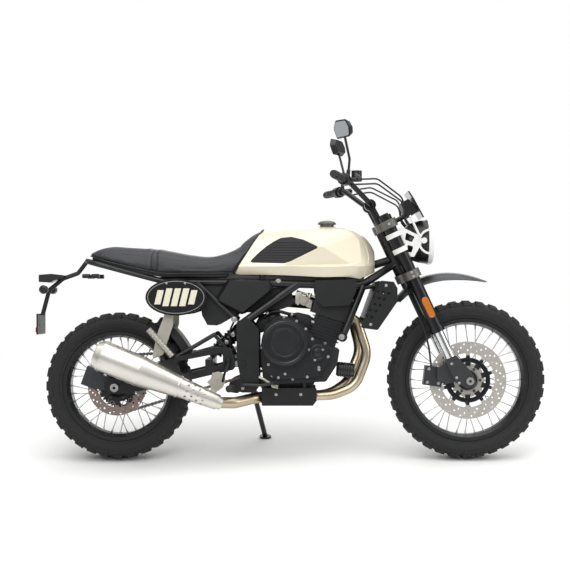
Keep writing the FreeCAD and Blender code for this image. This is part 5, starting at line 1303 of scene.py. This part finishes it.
def side_view(points):
    return [(p.x, p.z) for p in points]

spots = [FRONT_AXLE + on_circle(along, CALIPER_TURN) + on_circle(aside, CALIPER_TURN + math.pi / 2)
         for along, aside in ((122, -26), (122, 26), (168, -28), (168, 28))]
add_bolts("caliper_bolts", pressed(surface_of("front_caliper"), side_view(spots)), RIGHT, 5.0, "steering")
for side, facing, name in SIDES:
    feet = [on_fork(forward, side * 119.7, up) for forward, up in ((-44, 12), (-44, 36), (-38, 96))]
    add_bolts("fork_foot_bolts_" + name, feet, facing, 4.4, "steering")
pinches = side_view(on_fork(-FORK_LEAD, 0, up) for up in (486, 504, 722))
add_bolts("clamp_bolts", seated(["triple_clamps"], pinches), RIGHT, 4.4, "steering")
bar_end = side_view([FRONT_AXLE + Vector((-566.6, 0, 812.3))])
for side, facing, name in SIDES:
    found = pressed(surface_of("handlebar"), bar_end, 0.0, side)
    add_bolts("bar_end_bolt_" + name, found, facing, 5.2, "steering")

# %% [markdown]
# The camera stands where the photographer stood, 4.5 m out on the right-hand side. It is turned by the
# machine's own lean, so the parked machine stands upright in the picture. The lamps are large and soft.

# %% Camera and lamps
PHOTO = 570                 # the photograph's pixels each way
MM_PER_PIXEL = 4.197
FILM_MM = 36.0
AWAY = 4500.0
CAMERA_AT = Vector((714.0, -AWAY, 663.0))

def aimed(at, look, up):
    """A camera or lamp turned to look along a direction."""
    back = -look.normalized()
    side = up.cross(back).normalized()
    return Matrix.Translation(at) @ Matrix((side, back.cross(side), back)).transposed().to_4x4()

camera = placed("camera", bpy.data.cameras.new("camera"))
camera.data.lens = FILM_MM * AWAY / (PHOTO * MM_PER_PIXEL)
camera.data.sensor_width = FILM_MM
camera.data.shift_x, camera.data.shift_y = -5 / PHOTO, 15 / PHOTO
camera.data.clip_end = 50.0         # metres
turn = TURN.to_3x3()
camera.matrix_world = aimed(PARK @ CAMERA_AT, turn @ LEFT, turn @ UP)
bpy.context.scene.camera = camera

def add_lamp(name, at, target, size, power):
    lamp = bpy.data.lights.new(name, "AREA")
    lamp.shape = "RECTANGLE"
    lamp.size, lamp.size_y = size
    lamp.energy = power
    placed(name, lamp).matrix_world = aimed(Vector(at), Vector(target) - Vector(at), Vector((0, 0.01, 1)))

add_lamp("overhead", (0.2, -0.3, 3.4), (0, 0, 0.5), (4.5, 3.0), 74)
add_lamp("camera_side", (-1.2, -3.2, 3.0), (0, 0, 0.5), (2.6, 1.6), 44)
add_lamp("front_side", (3.2, -1.4, 1.7), (0.4, 0, 0.6), (1.6, 1.6), 26)
add_lamp("far_side", (0.5, 3.4, 1.8), (0, 0, 0.5), (3.0, 1.6), 30)

# %% [markdown]
# The paper floor keeps the machine's soft shadow, and turns into plain white further out. The air is plain
# white only where the camera sees it. To everything else it is a studio: bright above, dim at eye level,
# and that is what draws the highlights along the tops of the black tubes.

# %% Floor and air
FLOOR_HALF = 14
corners = [(x * FLOOR_HALF, y * FLOOR_HALF, 0) for x, y in ((-1, -1), (1, -1), (1, 1), (-1, 1))]
floor = placed("floor", mesh_of(corners, [(0, 1, 2, 3)]))
floor_white, tree, place = blank("paper_floor")
grain = speckle(tree, place, 25.0, 2.0)
paper = add(tree, "ShaderNodeBsdfPrincipled", {"Base Color": linear("#F6F6F5"), "Specular IOR Level": 0.1,
                                               "Roughness": ranged(tree, grain, 0.75, 0.9)})
distance = vector_math(tree, "LENGTH", place)["Value"]
fade = ranged(tree, distance, start=1.3, end=2.4)
rays = add(tree, "ShaderNodeLightPath").outputs
share = maths(tree, "MULTIPLY", fade, maths(tree, "MAXIMUM", rays["Is Camera Ray"], rays["Is Glossy Ray"]))
white = add(tree, "ShaderNodeEmission", {"Color": (1, 1, 1, 1)}).outputs[0]
both = add(tree, "ShaderNodeMixShader", {0: share, 1: paper.outputs["BSDF"], 2: white}).outputs[0]
add(tree, "ShaderNodeOutputMaterial", {"Surface": both})
floor.data.materials.append(floor_white)

world = bpy.data.worlds.new("studio_air")
bpy.context.scene.world = world
world.use_nodes = True
tree = world.node_tree
tree.nodes.clear()
seen = add(tree, "ShaderNodeLightPath").outputs["Is Camera Ray"]
way = add(tree, "ShaderNodeTexCoord").outputs["Generated"]
height = add(tree, "ShaderNodeSeparateXYZ", {"Vector": way}).outputs["Z"]
strength = ranged(tree, seen, ranged(tree, height, 0.16, 0.85, end=0.8))
air = add(tree, "ShaderNodeBackground", {"Color": (1, 1, 1, 1), "Strength": strength})
add(tree, "ShaderNodeOutputWorld", {"Surface": air.outputs[0]})
bpy.context.scene.view_settings.view_transform = "Standard"
